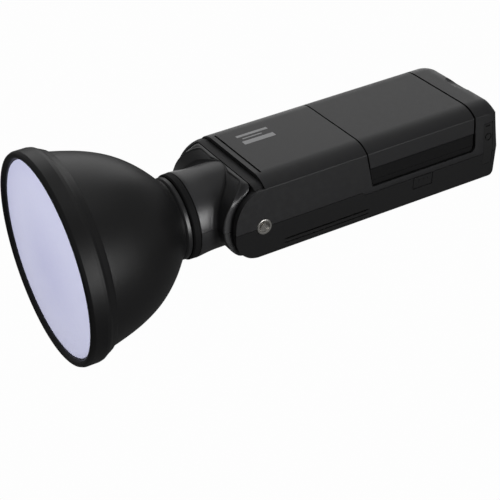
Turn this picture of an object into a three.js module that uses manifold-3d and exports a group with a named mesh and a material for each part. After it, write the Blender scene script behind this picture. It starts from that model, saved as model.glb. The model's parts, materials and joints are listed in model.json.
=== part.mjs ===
// A monolight strobe: a battery-topped body, a tilting plug-on lamp head with a bare flash tube,
// a round dish reflector and a push-on diffuser cap.
// Millimetres, +Z up. The lamp points to -Y, which is the front. The origin is the middle of
// the flat underside. Pieces named "right" are on the +X side.
import * as THREE from "three";
import { mergeVertices } from "three/addons/utils/BufferGeometryUtils.js";
import Module from "manifold-3d";

const wasm = await Module();
wasm.setup();

// ---------------------------------------------------------------- driving dimensions
const GAP = 0.3; // clearance between a cut piece and its neighbour

// body
const HALF_WIDTH = 37.5;
const TOP_Z = 50;
const CREASE_Z = 45; // where the shoulder meets the flat side
const FLAT_X = 25; // where the top starts to round over
const SHOULDER_RUN = HALF_WIDTH - FLAT_X;
const SHOULDER_DROP = TOP_Z - CREASE_Z;
// the shoulder is tangent to the top and passes through the crease
const SHOULDER_R = (SHOULDER_RUN ** 2 + SHOULDER_DROP ** 2) / (2 * SHOULDER_DROP);
const BASE_X = 34.5; // half width near the underside
const WALL = 2;
const PARTING_Z = 21.5; // upper to lower shell, front part
const DECK_LOW_Z = 19.4; // the same parting line below the battery
const DECK_TOP_Z = 23.2; // the deck on which the battery rests
const STEP_Y = -11.4; // where the parting line steps down
const MID_Y = -7.85; // front end of the battery
const MID_SLANT = 3.4; // how far that seam leans to the rear at deck level
const REAR_SEAM_Y = 68.5; // rear end of the battery
const REAR_Y = 85.5; // rear end of the body
const RECESS_Y = REAR_Y - 3.2; // floor of the recess for the rear panel
const TOP_EDGE_Y = -74.3; // front edge of the top
const SLOT_Y = -71; // shallow groove across the top
const EAR_IN_X = 35.5; // inner face of the two ears
const EAR_LOW_X = 33.1; // the same near the underside
const EAR_LOW_Z = 9;

// head joint and lamp
const HINGE_Y = -76.5;
const HINGE_Z = 21.8; // height of the pivot axis
const AXIS_Z = 22.5; // height of the lamp axis
const SLOT_R = 26; // room swept by the barrel inside the body
const SLOT_FLOOR_Z = 2.6;
const HOOD_R = 24.9;
const DRUM_R = 18.4;
const FACE_Y = -73.8; // centre of the round face of the head
const FACE_Z = 22;
const FACE_R = 26;
const FACE_HALF_WIDTH = 32.8;
const NECK_R = 24.4;
const NECK_FRONT_Y = -110;
const PIVOT_R = 4.75;

// reflector and diffuser
const COLLAR_R = 21.4;
const DISH_WALL = 1.6;
const RING_R = 62;
const RING_FRONT_Y = -194;
const LENS_R = 57.2;
const LENS_Y = -191.4;

// battery
const GRIP_Z = 35; // below this line the battery's sides lean inwards
const GRIP_IN = 1;
const PACK_WALL = 1.8;

// ---------------------------------------------------------------- solids
// Welds a geometry and makes it a manifold that faces outwards.
function solid(geometry) {
  geometry.deleteAttribute("normal");
  geometry.deleteAttribute("uv");
  const welded = mergeVertices(geometry, 1e-4);
  const corners = welded.index.array;
  const triangles = [];
  for (let i = 0; i < corners.length; i += 3) {
    const [p, q, r] = corners.subarray(i, i + 3);
    if (p !== q && q !== r && p !== r) triangles.push([p, q, r]);
  }
  const make = (list) =>
    new wasm.Manifold(
      new wasm.Mesh({
        numProp: 3,
        vertProperties: new Float32Array(welded.attributes.position.array),
        triVerts: new Uint32Array(list.flat()),
      }),
    );
  const shape = make(triangles);
  return shape.volume() < 0 ? make(triangles.map(([p, q, r]) => [p, r, q])) : shape;
}
const join = (first, ...rest) => rest.reduce((sum, other) => sum.add(other), first);
const cut = (first, ...rest) => rest.reduce((left, other) => left.subtract(other), first);
const meet = (first, ...rest) => rest.reduce((common, other) => common.intersect(other), first);

const UNIT_X = new THREE.Vector3(1, 0, 0);
const UNIT_Y = new THREE.Vector3(0, 1, 0);
const UNIT_Z = new THREE.Vector3(0, 0, 1);
const MINUS_Y = new THREE.Vector3(0, -1, 0);

function extrude(outline, depth, axes, shift) {
  const shape = new THREE.Shape(outline.map((point) => new THREE.Vector2(...point)));
  const settings = { depth, bevelEnabled: false, curveSegments: 1 };
  const geometry = new THREE.ExtrudeGeometry(shape, settings);
  geometry.applyMatrix4(new THREE.Matrix4().makeBasis(...axes)).translate(...shift);
  return solid(geometry);
}
// prisms: a (y,z) outline along X, an (x,z) outline along Y, an (x,y) outline along Z
const alongX = (yz, x0, x1) => extrude(yz, x1 - x0, [UNIT_Y, UNIT_Z, UNIT_X], [x0, 0, 0]);
const alongY = (xz, y0, y1) => extrude(xz, y1 - y0, [UNIT_X, UNIT_Z, MINUS_Y], [0, y1, 0]);
const alongZ = (xy, z0, z1) => extrude(xy, z1 - z0, [UNIT_X, UNIT_Y, UNIT_Z], [0, 0, z0]);

const box = (x0, x1, y0, y1, z0, z1) =>
  solid(
    new THREE.BoxGeometry(x1 - x0, y1 - y0, z1 - z0)
      .translate((x0 + x1) / 2, (y0 + y1) / 2, (z0 + z1) / 2),
  );
// trimming solids wider than the strobe: a (y,z) outline, and a slab between two heights
const across = (yz) => alongX(yz, -HALF_WIDTH - 2, HALF_WIDTH + 2);
const layer = (z0, z1) => box(-50, 50, -130, 110, z0, z1);

// an x range given for the +X side, mirrored when side is -1
const spanOn = (side, x0, x1) => (side > 0 ? [x0, x1] : [-x1, -x0]);
const sideBox = (side, x0, x1, ...rest) => box(...spanOn(side, x0, x1), ...rest);
const SIDES = [["right", 1], ["left", -1]];

// round rods along each axis
const cylinder = (radius, from, to, segments) =>
  new THREE.CylinderGeometry(radius, radius, to - from, segments);
const rodX = (radius, x0, x1, [y, z], segments) =>
  solid(cylinder(radius, x0, x1, segments).rotateZ(-Math.PI / 2).translate((x0 + x1) / 2, y, z));
const rodY = (radius, y0, y1, [x, z], segments) =>
  solid(cylinder(radius, y0, y1, segments).translate(x, (y0 + y1) / 2, z));
const rodZ = (radius, z0, z1, [x, y], segments) =>
  solid(cylinder(radius, z0, z1, segments).rotateX(Math.PI / 2).translate(x, y, (z0 + z1) / 2));
const pivotRod = (radius, x0, x1, segments) =>
  rodX(radius, x0, x1, [HINGE_Y, HINGE_Z], segments);
const lampRod = (radius, y0, y1, segments) => rodY(radius, y0, y1, [0, AXIS_Z], segments);

const turn = (profile, segments) =>
  new THREE.LatheGeometry(profile.map((point) => new THREE.Vector2(...point)), segments);
// turned about the lamp axis: (radius, y)
const lathe = (profile, segments) => solid(turn(profile, segments).translate(0, 0, AXIS_Z));
const latheRing = (profile, segments) => lathe([...profile, profile[0]], segments);
// turned about an X axis: (radius, x) of the +X half, mirrored to the other half
function latheX(half, y, z, segments) {
  const mirrored = half.map(([radius, x]) => [radius, -x]).reverse();
  return solid(turn([...mirrored, ...half], segments).rotateZ(-Math.PI / 2).translate(0, y, z));
}

// ---------------------------------------------------------------- outlines
const radians = THREE.MathUtils.degToRad;
const polar = (midA, midB, radius, degrees) => [
  midA + radius * Math.cos(radians(degrees)),
  midB + radius * Math.sin(radians(degrees)),
];
const arc = (midA, midB, radius, from, to, steps) =>
  Array.from({ length: steps + 1 }, (_, i) =>
    polar(midA, midB, radius, from + ((to - from) * i) / steps),
  );
const mirrorX = (half) => [...half, ...half.map(([x, other]) => [-x, other]).reverse()];
// a rectangle with rounded corners in any plane
const rounded = (a0, a1, b0, b1, radius, steps = 3) => [
  ...arc(a1 - radius, b1 - radius, radius, 0, 90, steps),
  ...arc(a0 + radius, b1 - radius, radius, 90, 180, steps),
  ...arc(a0 + radius, b0 + radius, radius, 180, 270, steps),
  ...arc(a1 - radius, b0 + radius, radius, 270, 360, steps),
];
// pairs of a first and a second coordinate, row by row
const grid = (firsts, seconds) => seconds.flatMap((b) => firsts.map((a) => [a, b]));

// ---------------------------------------------------------------- materials
const FINISH = {
  shell: { color: 0x2b2b2d, roughness: 0.55 },
  shellDark: { color: 0x161617, roughness: 0.6 },
  battery: { color: 0x2a2a2c, roughness: 0.55 },
  dish: { color: 0x1c1c1d, roughness: 0.45 },
  black: { color: 0x0f0f10, roughness: 0.6 },
  rubber: { color: 0x141414, roughness: 0.85 },
  diffuser: { color: 0xd8d8ee, roughness: 0.4 },
  metal: { color: 0xb9bbbf, roughness: 0.28, metalness: 1 },
  steel: { color: 0x8c8e92, roughness: 0.35, metalness: 1 },
  brass: { color: 0xb08d4a, roughness: 0.35, metalness: 1 },
  circuit: { color: 0x1c5a35, roughness: 0.6 },
  glass: { color: 0xdfe6ea, roughness: 0.08, transparent: true, opacity: 0.4 },
  screen: { color: 0x11181a, roughness: 0.12 },
  ceramic: { color: 0xe6e2d8, roughness: 0.5 },
  button: { color: 0x3a3a3d, roughness: 0.5 },
  red: { color: 0xa5281f, roughness: 0.4 },
  capacitor: { color: 0x1d2a55, roughness: 0.35 },
  cell: { color: 0x2f6f8f, roughness: 0.45 },
};

// ---------------------------------------------------------------- scene graph
const strobe = new THREE.Group();
strobe.name = "monolight_strobe";
strobe.userData.origin = new THREE.Vector3();

// userData.origin is the group's place in the strobe's frame
function addGroup(name, parent, x = 0, y = 0, z = 0) {
  const group = new THREE.Group();
  group.name = name;
  group.position.set(x, y, z);
  group.userData.origin = group.position.clone().add(parent.userData.origin);
  parent.add(group);
  return group;
}
const body = addGroup("body_group", strobe);
const battery = addGroup("battery_group", body, 0, 30, DECK_TOP_Z);
const controls = addGroup("controls_group", body, 0, REAR_Y, 0);
const barrel = addGroup("barrel_group", strobe, 0, HINGE_Y, HINGE_Z);
const head = addGroup("head_group", barrel);
const tube = addGroup("tube_group", head, 0, -30, 0);
const reflector = addGroup("reflector_group", head, 0, -40, 0);
const cap = addGroup("diffuser_group", reflector, 0, -66, 0);

// Puts a solid, built in the strobe's frame, into its group as a named mesh.
function put(parent, name, shape, finish) {
  const { vertProperties, triVerts } = shape.getMesh();
  const geometry = new THREE.BufferGeometry();
  const positions = new Float32Array(vertProperties);
  geometry.setAttribute("position", new THREE.BufferAttribute(positions, 3));
  geometry.setIndex(new THREE.BufferAttribute(new Uint32Array(triVerts), 1));
  geometry.computeVertexNormals();
  const { x, y, z } = parent.userData.origin;
  geometry.translate(-x, -y, -z);
  const mesh = new THREE.Mesh(geometry, new THREE.MeshStandardMaterial(finish));
  mesh.name = name;
  parent.add(mesh);
}

// ---------------------------------------------------------------- body outline
// crease and shoulder of the +X side, shared by the body and the battery
const shoulder = (inset) => [
  [HALF_WIDTH - inset, CREASE_Z - inset * 0.35],
  ...arc(FLAT_X, TOP_Z - SHOULDER_R, SHOULDER_R - inset, 46.4, 90, 4).slice(1),
];
// (x,z) cross-section, from the underside up
const section = (inset) =>
  mirrorX([
    [BASE_X - 2 - inset, inset],
    [BASE_X - 0.5 - inset, 0.7 + inset],
    [BASE_X + 0.05 - inset, 2.3 + inset * 0.6],
    [HALF_WIDTH - inset, PARTING_Z],
    ...shoulder(inset),
  ]);
// (y,z) of the round nose of the ears, from the top down
const NOSE = [
  [TOP_EDGE_Y, CREASE_Z - 0.2],
  [-77.2, 44.9], [-80, 44.3], [-83, 43.1], [-85.8, 41.3], [-88.3, 38.9], [-90.4, 36],
  [-92.1, 32.7], [-93.4, 29], [-94.2, 25], [-94.5, 21], [-94.4, 16.8], [-93.6, 12.7],
  [-91.9, 8.8], [-89.2, 5.5], [-85.6, 2.8], [-81, 0.9], [-76, 0],
];
// the rear top edge is rounded further along Y than in height
const TOP_ROUND_Y = 9;
const TOP_ROUND_Z = 4.5;
const SIDE = [
  [TOP_EDGE_Y, TOP_Z + 1],
  ...NOSE,
  [REAR_Y - 4, 0], [REAR_Y - 1.2, 1.2], [REAR_Y, 4],
  ...arc(0, 0, 1, 0, 90, 4).map(([along, up]) => [
    REAR_Y - TOP_ROUND_Y * (1 - along),
    TOP_Z - TOP_ROUND_Z * (1 - up),
  ]),
  [REAR_Y - TOP_ROUND_Y, TOP_Z + 1],
];
// (x,y) outline that rounds the rear corners
const PLAN = mirrorX([
  [HALF_WIDTH + 1, -100], [HALF_WIDTH + 1, REAR_Y - 4], [HALF_WIDTH, REAR_Y - 4],
  [HALF_WIDTH - 1.2, REAR_Y - 1.2], [HALF_WIDTH - 4, REAR_Y],
]);
const outer = meet(
  alongY(section(0), -98, REAR_Y + 1),
  across(SIDE),
  alongZ(PLAN, -1, TOP_Z + 2),
);

// ---------------------------------------------------------------- cuts in the body
// the open space between the ears, in which the barrel turns
const behindHinge = (z0, z1) => box(-40, 40, HINGE_Y - 1, -40, z0, z1);
const headSlot = join(
  box(-EAR_IN_X, EAR_IN_X, -110, HINGE_Y, EAR_LOW_Z, TOP_Z + 5),
  box(-EAR_LOW_X, EAR_LOW_X, -110, HINGE_Y, SLOT_FLOOR_Z, EAR_LOW_Z + 1),
  box(-EAR_LOW_X, EAR_LOW_X, -110, -80.6, -5, 4),
  // the hollow behind the barrel narrows at both ends, under the rounded shoulders
  meet(
    latheX(
      [[SLOT_R, 31], [25.3, 33.4], [23.6, EAR_IN_X], [0, EAR_IN_X]],
      HINGE_Y, HINGE_Z, 48,
    ),
    behindHinge(EAR_LOW_Z, 60),
  ),
  meet(pivotRod(DRUM_R + 0.8, -EAR_LOW_X, EAR_LOW_X, 40), behindHinge(SLOT_FLOOR_Z, 30)),
);
// room for the battery: its end seams are planes, the front one leans to the rear
const batteryBay = across([
  [MID_Y, TOP_Z + 2], [MID_Y, CREASE_Z], [MID_Y + MID_SLANT, DECK_TOP_Z],
  [REAR_SEAM_Y + 0.6, DECK_TOP_Z], [REAR_SEAM_Y, CREASE_Z], [REAR_SEAM_Y, TOP_Z + 2],
]);
// (y,z) of the parting line between the two shells
const PARTING = [
  [-100, PARTING_Z], [STEP_Y, PARTING_Z],
  [STEP_Y + 1.6, DECK_LOW_Z], [REAR_Y + 3, DECK_LOW_Z],
];
const above = across([...PARTING, [REAR_Y + 3, 60], [-100, 60]]);
const below = across([
  ...PARTING.map(([y, z]) => [y, z - GAP]).reverse(),
  [-100, -5], [REAR_Y + 3, -5],
]);

// hollows one wall thickness inside the section
const hollow = (y0, y1, z0, z1) => meet(alongY(section(WALL), y0, y1), layer(z0, z1));
const upperFrontHollow = hollow(-50, MID_Y - WALL, -1, TOP_Z - WALL);
const lowerFrontHollow = hollow(-50, MID_Y, WALL, PARTING_Z + 1);

const DOOR = { y0: 74.8, y1: 81.2, z0: 9, z1: 39.2, depth: 1.6 }; // port cover, +X side
const sharedCuts = [
  headSlot,
  hollow(-62, RECESS_Y, WALL, DECK_TOP_Z - 1.6),
  hollow(REAR_SEAM_Y + 0.6 + WALL, RECESS_Y, WALL, TOP_Z - 4),
  alongY(rounded(-32.5, 32.5, 5.5, 45, 3), RECESS_Y, REAR_Y + 2),
  pivotRod(PIVOT_R + 0.1, -45, 45, 28),
  // seat of the port cover and the opening behind it
  box(
    HALF_WIDTH - DOOR.depth - GAP, HALF_WIDTH + 3,
    DOOR.y0 - 0.1, DOOR.y1 + 0.25, DOOR.z0, DOOR.z1,
  ),
  box(
    HALF_WIDTH - 6.5, HALF_WIDTH + 3,
    DOOR.y0 + 0.6, DOOR.y1 - 0.4, DOOR.z0 + 2, DOOR.z1 - 1.5,
  ),
];

// ---------------------------------------------------------------- upper shell
const upperShell = cut(
  meet(cut(outer, batteryBay), above),
  ...sharedCuts,
  upperFrontHollow,
  // shallow finger hollow in the rear top edge
  alongX(arc(88, 62, 16, 190, 290, 14), -10.5, 10.5),
  // groove across the top
  box(-27, 27, SLOT_Y - 0.65, SLOT_Y + 0.65, TOP_Z - 0.9, TOP_Z + 2),
  // window in the deck for the battery contacts
  box(-12, 12, 59.6, 66.4, DECK_TOP_Z - 3, DECK_TOP_Z + 1),
);
put(body, "upper_shell", upperShell, FINISH.shell);

// ---------------------------------------------------------------- lower shell
const SCREWS = grid([-27, 27], [-50, 61]); // (x,y)
const RELEASE = { y0: 24.7, y1: 37.9, z0: 11, z1: 18.6 };
const VENT_ZS = [7.8, 5.1];
const SOCKET = { y: -10, half: 15, insertR: 6.5 };
const SOCKET_MID = [0, SOCKET.y];

const sideOpenings = (side) => [
  sideBox(
    side, HALF_WIDTH - 4, HALF_WIDTH + 3,
    RELEASE.y0 - GAP, RELEASE.y1 + GAP, RELEASE.z0 - GAP, RELEASE.z1 + GAP,
  ),
  ...VENT_ZS.map((z) =>
    sideBox(side, HALF_WIDTH - 2.6, HALF_WIDTH + 2, -63.6, -5.4, z - 0.5, z + 0.5),
  ),
];
const socketSeat = SOCKET.half + GAP;
let lowerShell = cut(
  meet(outer, below),
  ...sharedCuts,
  lowerFrontHollow,
  ...sideOpenings(1),
  ...sideOpenings(-1),
  box(-socketSeat, socketSeat, SOCKET.y - socketSeat, SOCKET.y + socketSeat, -1, 1.2),
  rodZ(SOCKET.insertR + GAP, -1, 4, SOCKET_MID, 24),
);
// screw pillars with a sunk head seat and a bore
for (const place of SCREWS) {
  lowerShell = cut(
    join(lowerShell, rodZ(4, 0.4, 8, place, 16)),
    rodZ(2.9, -1, 2.4, place, 16),
    rodZ(1.6, 2, 12, place, 12),
  );
}
put(body, "lower_shell", lowerShell, FINISH.shellDark);

// cross-head case screws
SCREWS.forEach(([x, y], i) => {
  const screw = cut(
    join(rodZ(2.6, 0.7, 2.2, [x, y], 16), rodZ(1.3, 2.1, 11, [x, y], 12)),
    box(x - 1.7, x + 1.7, y - 0.35, y + 0.35, 0, 1.3),
    box(x - 0.35, x + 0.35, y - 1.7, y + 1.7, 0, 1.3),
  );
  put(body, `case_screw_${i + 1}`, screw, FINISH.steel);
});

// stand socket: a flush metal plate and its insert
const socketOutline = rounded(
  -SOCKET.half, SOCKET.half, SOCKET.y - SOCKET.half, SOCKET.y + SOCKET.half, 3,
);
const socketPlate = cut(
  alongZ(socketOutline, 0, 0.9),
  rodZ(SOCKET.insertR + GAP, -1, 3, SOCKET_MID, 24),
);
put(body, "stand_socket_plate", socketPlate, FINISH.steel);
const socketInsert = cut(
  join(rodZ(SOCKET.insertR, 0, 3.6, SOCKET_MID, 24), rodZ(5.2, 3.5, 13, SOCKET_MID, 24)),
  rodZ(3.2, -1, 12, SOCKET_MID, 20),
);
put(body, "stand_socket_insert", socketInsert, FINISH.metal);

// side inserts on the pivot axis and the bushes around them
const INSERT_X0 = 30.2;
const INSERT_X1 = HALF_WIDTH + 0.45;
for (const [name, side] of SIDES) {
  const insert = cut(
    pivotRod(PIVOT_R, ...spanOn(side, INSERT_X0, INSERT_X1), 28),
    pivotRod(3.1, ...spanOn(side, INSERT_X0 + 1.5, INSERT_X1 + 1), 20),
  );
  put(body, `pivot_insert_${name}`, insert, FINISH.metal);
  const bush = cut(
    pivotRod(6.6, ...spanOn(side, 30.8, 35), 28),
    pivotRod(PIVOT_R + 0.15, ...spanOn(side, 30, 36), 28),
  );
  put(barrel, `hinge_bush_${name}`, bush, FINISH.ceramic);
}

// ---------------------------------------------------------------- inside the body
put(body, "main_board", box(-29, 29, -44, 66, 13.4, 15), FINISH.circuit);
[-16, 16].forEach((x, i) => {
  put(body, `capacitor_${i + 1}`, rodY(14.2, -46, -12, [x, 31], 28), FINISH.capacitor);
});
const transformer = join(box(-12, 12, 8, 32, 4.2, 13), box(-9, 9, 6, 34, 5.4, 11.6));
put(body, "hv_transformer", transformer, FINISH.brass);
const bodyContacts = join(
  box(-11.6, 11.6, 60, 66, 15.4, 19),
  box(-9, 9, 61.5, 64.5, 18.9, DECK_TOP_Z - 0.3),
);
put(body, "battery_contacts", bodyContacts, FINISH.brass);
put(body, "control_board", box(-29, 29, 75.2, 76.8, 4.5, 44), FINISH.circuit);

// ---------------------------------------------------------------- rear control panel
const PANEL_Y = REAR_Y - 1; // face of the panel
const CONTROL_Y = 81.4; // inner end of the dial and the buttons
const LCD = { x0: -28, x1: 6, z0: 21.5, z1: 42 };
const DIAL = { place: [19.5, 31.5], r: 9.6 }; // places are (x,z)
const BUTTON = { firstX: -24.5, pitch: 11, count: 4, z: 12.6, halfX: 4, halfZ: 2.5 };
const TEST = { place: [19, 13.2], r: 3.4 };
const SWITCH = { x: 27.4, z: 13.2 };

// outlines grown by a margin on every side
const lcdOutline = (grow, radius) =>
  rounded(LCD.x0 - grow, LCD.x1 + grow, LCD.z0 - grow, LCD.z1 + grow, radius, 2);
const buttonOutline = (x, grow, radius, steps) => {
  const halfX = BUTTON.halfX + grow;
  const halfZ = BUTTON.halfZ + grow;
  return rounded(x - halfX, x + halfX, BUTTON.z - halfZ, BUTTON.z + halfZ, radius, steps);
};
const buttonXs = Array.from({ length: BUTTON.count }, (_, i) => BUTTON.firstX + i * BUTTON.pitch);

const panel = cut(
  alongY(rounded(-32.2, 32.2, 5.8, 44.7, 2.8), REAR_Y - 3, PANEL_Y),
  alongY(lcdOutline(GAP, 1.3), 70, 90),
  rodY(DIAL.r + 0.4, 70, 90, DIAL.place, 40),
  rodY(TEST.r + GAP, 70, 90, TEST.place, 24),
  box(SWITCH.x - 3.4, SWITCH.x + 3.4, 70, 90, SWITCH.z - 3.6, SWITCH.z + 3.6),
  ...buttonXs.map((x) => alongY(buttonOutline(x, GAP, 1.5, 2), 70, 90)),
);
put(body, "rear_panel", panel, FINISH.black);
put(body, "lcd_window", alongY(lcdOutline(0, 1), REAR_Y - 2.6, PANEL_Y + 0.2), FINISH.screen);
const lcdModule = box(LCD.x0 + 1, LCD.x1 - 1, REAR_Y - 8, REAR_Y - 3.4, LCD.z0 + 1, LCD.z1 - 1);
put(body, "lcd_module", lcdModule, FINISH.steel);

// mode dial: an open ring with a notched rim, its encoder and its centre button
const [dialX, dialZ] = DIAL.place;
const encoder = join(
  box(dialX - 6, dialX + 6, 77.1, 79.8, dialZ - 6, dialZ + 6),
  rodY(2.2, 79.7, 81.1, DIAL.place, 14),
);
put(body, "dial_encoder", encoder, FINISH.steel);
const dialNotches = Array.from({ length: 12 }, (_, i) =>
  rodY(0.7, REAR_Y - 0.4, REAR_Y + 3, polar(dialX, dialZ, DIAL.r + 0.25, i * 30), 8),
);
const dial = cut(
  join(
    rodY(DIAL.r, CONTROL_Y, REAR_Y + 1.6, DIAL.place, 40),
    rodY(DIAL.r - 0.7, REAR_Y + 1.5, REAR_Y + 2.2, DIAL.place, 40),
  ),
  rodY(5.2, 80, 90, DIAL.place, 28),
  ...dialNotches,
);
put(controls, "mode_dial", dial, FINISH.button);
put(controls, "dial_button", rodY(4.8, 82.2, REAR_Y + 1.4, DIAL.place, 28), FINISH.button);

buttonXs.forEach((x, i) => {
  const button = alongY(buttonOutline(x, 0, 1.3, 3), CONTROL_Y, REAR_Y + 0.5);
  put(controls, `button_${i + 1}`, button, FINISH.button);
});
const testButton = rodY(TEST.r, CONTROL_Y, REAR_Y + 0.6, TEST.place, 24);
put(controls, "test_button", testButton, FINISH.red);
const powerSwitch = join(
  box(SWITCH.x - 3.1, SWITCH.x + 1.1, 83, PANEL_Y + 0.4, SWITCH.z - 3.2, SWITCH.z + 3.2),
  box(SWITCH.x - 1.6, SWITCH.x - 0.4, PANEL_Y, PANEL_Y + 1.5, SWITCH.z - 2.4, SWITCH.z + 2.4),
);
put(controls, "power_switch", powerSwitch, FINISH.button);

// ---------------------------------------------------------------- ports and side buttons
const usbPort = cut(box(30.6, 34.4, 76, 80, 13, 22), box(31.6, 35, 76.7, 79.3, 14, 21));
put(body, "usb_port", usbPort, FINISH.steel);
const JACK = [78, 30.5]; // (y,z)
const syncJack = cut(rodX(2.4, 30.6, 34.4, JACK, 20), rodX(1.7, 31.6, 35, JACK, 16));
put(body, "sync_jack", syncJack, FINISH.brass);
const portCover = meet(
  outer,
  box(
    HALF_WIDTH - DOOR.depth, HALF_WIDTH + 2,
    DOOR.y0, DOOR.y1, DOOR.z0 + 0.25, DOOR.z1 - 0.25,
  ),
);
put(body, "port_cover", portCover, FINISH.rubber);

// battery release buttons, flush with the sides of the lower shell
for (const [name, side] of SIDES) {
  const block = sideBox(side, 31.6, 40, RELEASE.y0, RELEASE.y1, RELEASE.z0, RELEASE.z1);
  put(body, `battery_release_${name}`, meet(outer, block), FINISH.shellDark);
}

// ---------------------------------------------------------------- battery
function packSolid(inset) {
  const gripX = HALF_WIDTH - GRIP_IN - inset;
  const floorZ = DECK_TOP_Z + GAP;
  const frontY = MID_Y + GAP + inset;
  const rearY = REAR_SEAM_Y - GAP - inset;
  const ends = mirrorX([
    [gripX - 1.2, floorZ + inset],
    [gripX - 0.2, floorZ + 1 + inset * 0.6],
    [gripX + 0.3, GRIP_Z - 0.4],
    [HALF_WIDTH - 0.1 - inset, GRIP_Z + 0.4],
    ...shoulder(inset),
  ]);
  const profile = [
    [frontY, TOP_Z + 2], [frontY, CREASE_Z], [frontY + MID_SLANT, floorZ + inset],
    [rearY - 2.4, floorZ + inset], [rearY, floorZ + 2.4 + inset], [rearY, TOP_Z + 2],
  ];
  return meet(alongY(ends, MID_Y, REAR_SEAM_Y), across(profile));
}
const packShell = cut(packSolid(0), packSolid(PACK_WALL));
put(battery, "battery_cover", cut(packShell, layer(0, 27)), FINISH.battery);
const tray = meet(cut(packShell, box(-10.4, 10.4, 59, 65.6, 20, 30)), layer(0, 26.8));
put(battery, "battery_tray", tray, FINISH.shellDark);
grid([-16.8, 16.8], [26.6, 37.1]).forEach(([x, z], i) => {
  const cell = alongY(rounded(x - 16, x + 16, z, z + 9.8, 2.4, 2), -1, 57);
  put(battery, `battery_cell_${i + 1}`, cell, FINISH.cell);
});
const contactPlate = join(
  box(-10, 10, 59.4, 65.2, DECK_TOP_Z + 0.5, 26.4),
  box(-10, 10, 60.4, 64.2, 26.3, 30),
);
put(battery, "battery_contact_plate", contactPlate, FINISH.brass);

// ---------------------------------------------------------------- barrel
// the hood closes the top of the slot, from just in front of the pivot to the rear
const hoodSector = (radius, halfX) =>
  alongX(
    [[HINGE_Y, HINGE_Z], ...arc(HINGE_Y, HINGE_Z, radius, 50, 97.2, 10)],
    -halfX, halfX,
  );
const HOOD_SECTION = mirrorX([[33, 5], [33, 43], [31.6, 44.6], [28.6, 46.2], [24, 47.6]]);
const hood = meet(hoodSector(HOOD_R, 33), alongY(HOOD_SECTION, -100, -40));

// (y,z) of the cheeks: the ears' outline, drawn in towards the middle of the nose
const NOSE_MID = [-72.1, 23.7];
const CHEEK_INSET = 0.9;
const cheek = [
  ...NOSE.slice(1, 13).map(([y, z]) => {
    const [midY, midZ] = NOSE_MID;
    const distance = Math.hypot(y - midY, z - midZ);
    const scale = (distance - CHEEK_INSET) / distance;
    return [midY + (y - midY) * scale, midZ + (z - midZ) * scale];
  }),
  [HINGE_Y, 12], [-70, 20], [-66.6, 42],
];
const tiltBarrel = cut(
  join(
    pivotRod(DRUM_R, -28.8, 28.8, 32),
    pivotRod(12.4, -35.1, 35.1, 28),
    hood,
    alongX(cheek, 33.2, 35.1),
    alongX(cheek, -35.1, -33.2),
  ),
  pivotRod(15.6, -26.8, 26.8, 24),
  pivotRod(6.75, -45, 45, 28),
  // cable passages to the rear and towards the head
  box(-12, 12, -75, -40, 12, 34),
  box(-14, 14, -110, -85, 12, 32),
  // hollow under the hood
  meet(hoodSector(HOOD_R - 1.8, 30.8), box(-31, 31, -90, -40, 30, 60)),
);
put(barrel, "tilt_barrel", tiltBarrel, FINISH.black);
const plugContacts = join(
  box(-13.6, 13.6, -92.9, -90, 12.4, 31.6),
  ...[-9, -3, 3, 9].map((x) => rodY(1.1, -96.1, -92.8, [x, AXIS_Z], 10)),
);
put(barrel, "plug_contacts", plugContacts, FINISH.brass);

// ---------------------------------------------------------------- head shells
// the face is a short drum about an X axis, rounded at its ends
function faceSolid(inset, segments) {
  const halfX = FACE_HALF_WIDTH - inset;
  const drum = latheX(
    [
      [FACE_R - inset, 31 - inset * 0.6],
      [25.6 - inset, FACE_HALF_WIDTH - 0.6 - inset * 0.6],
      [24.4 - inset, halfX],
      [0, halfX],
    ],
    FACE_Y, FACE_Z, segments,
  );
  const browZ = 41.5 - inset;
  const jawZ = 11 + inset;
  const corners = [
    ...arc(halfX - 6, browZ, 6, 0, 90, 3),
    ...arc(6 - halfX, browZ, 6, 90, 180, 3),
    ...arc(12 - halfX, jawZ, 12, 180, 270, 4),
    ...arc(halfX - 12, jawZ, 12, 270, 360, 4),
  ];
  return meet(drum, alongY(corners, -110, -60));
}
// (y,z) of the rear side of the head, from the top down
const REAR_LINE = [
  [-80.6, 50], [-80.6, 46], [-83.2, 42.8], [-86.4, 39.6], [-89.2, 36.2], [-91.2, 32.4],
  [-92.6, 28], [-93.1, 22], [-92.8, 16], [-91.8, 11.6], [-89.6, 7.4], [-86, 3.4],
  [-82.2, 0], [-82.2, -6],
];
// (y,z) trim that draws the chin in a little more tightly than the brow
const CHIN = [
  [-60, 60], [-112, 60], [-112, FACE_Z], [-99.8, FACE_Z], [-99.1, 17], [-97, 12],
  [-93.6, 7.4], [-89.8, 3.6], [-85.5, 0.6], [-82.2, -0.8], [-60, -0.8],
];
const neck = lathe([
  [0, -84], [NECK_R, -84], [NECK_R, -96.8], [24.7, -101.8], [25.3, -106.9],
  [25.5, NECK_FRONT_Y + GAP], [0, NECK_FRONT_Y + GAP],
], 36);
const neckBore = lathe([
  [0, -84], [22, -84], [22, -109], [23.4, -109], [23.4, -120], [0, -120],
], 36);
const headShell = cut(
  meet(
    join(meet(faceSolid(0, 44), across(CHIN)), neck),
    across([...REAR_LINE, [-125, -6], [-125, 50]]),
  ),
  join(faceSolid(2.4, 32), neckBore),
);
const upperHead = meet(headShell, layer(AXIS_Z + GAP / 2, 60));
const lowerHead = meet(headShell, layer(-20, AXIS_Z - GAP / 2));
put(head, "head_upper_shell", upperHead, FINISH.shell);
put(head, "head_lower_shell", lowerHead, FINISH.shellDark);
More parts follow.
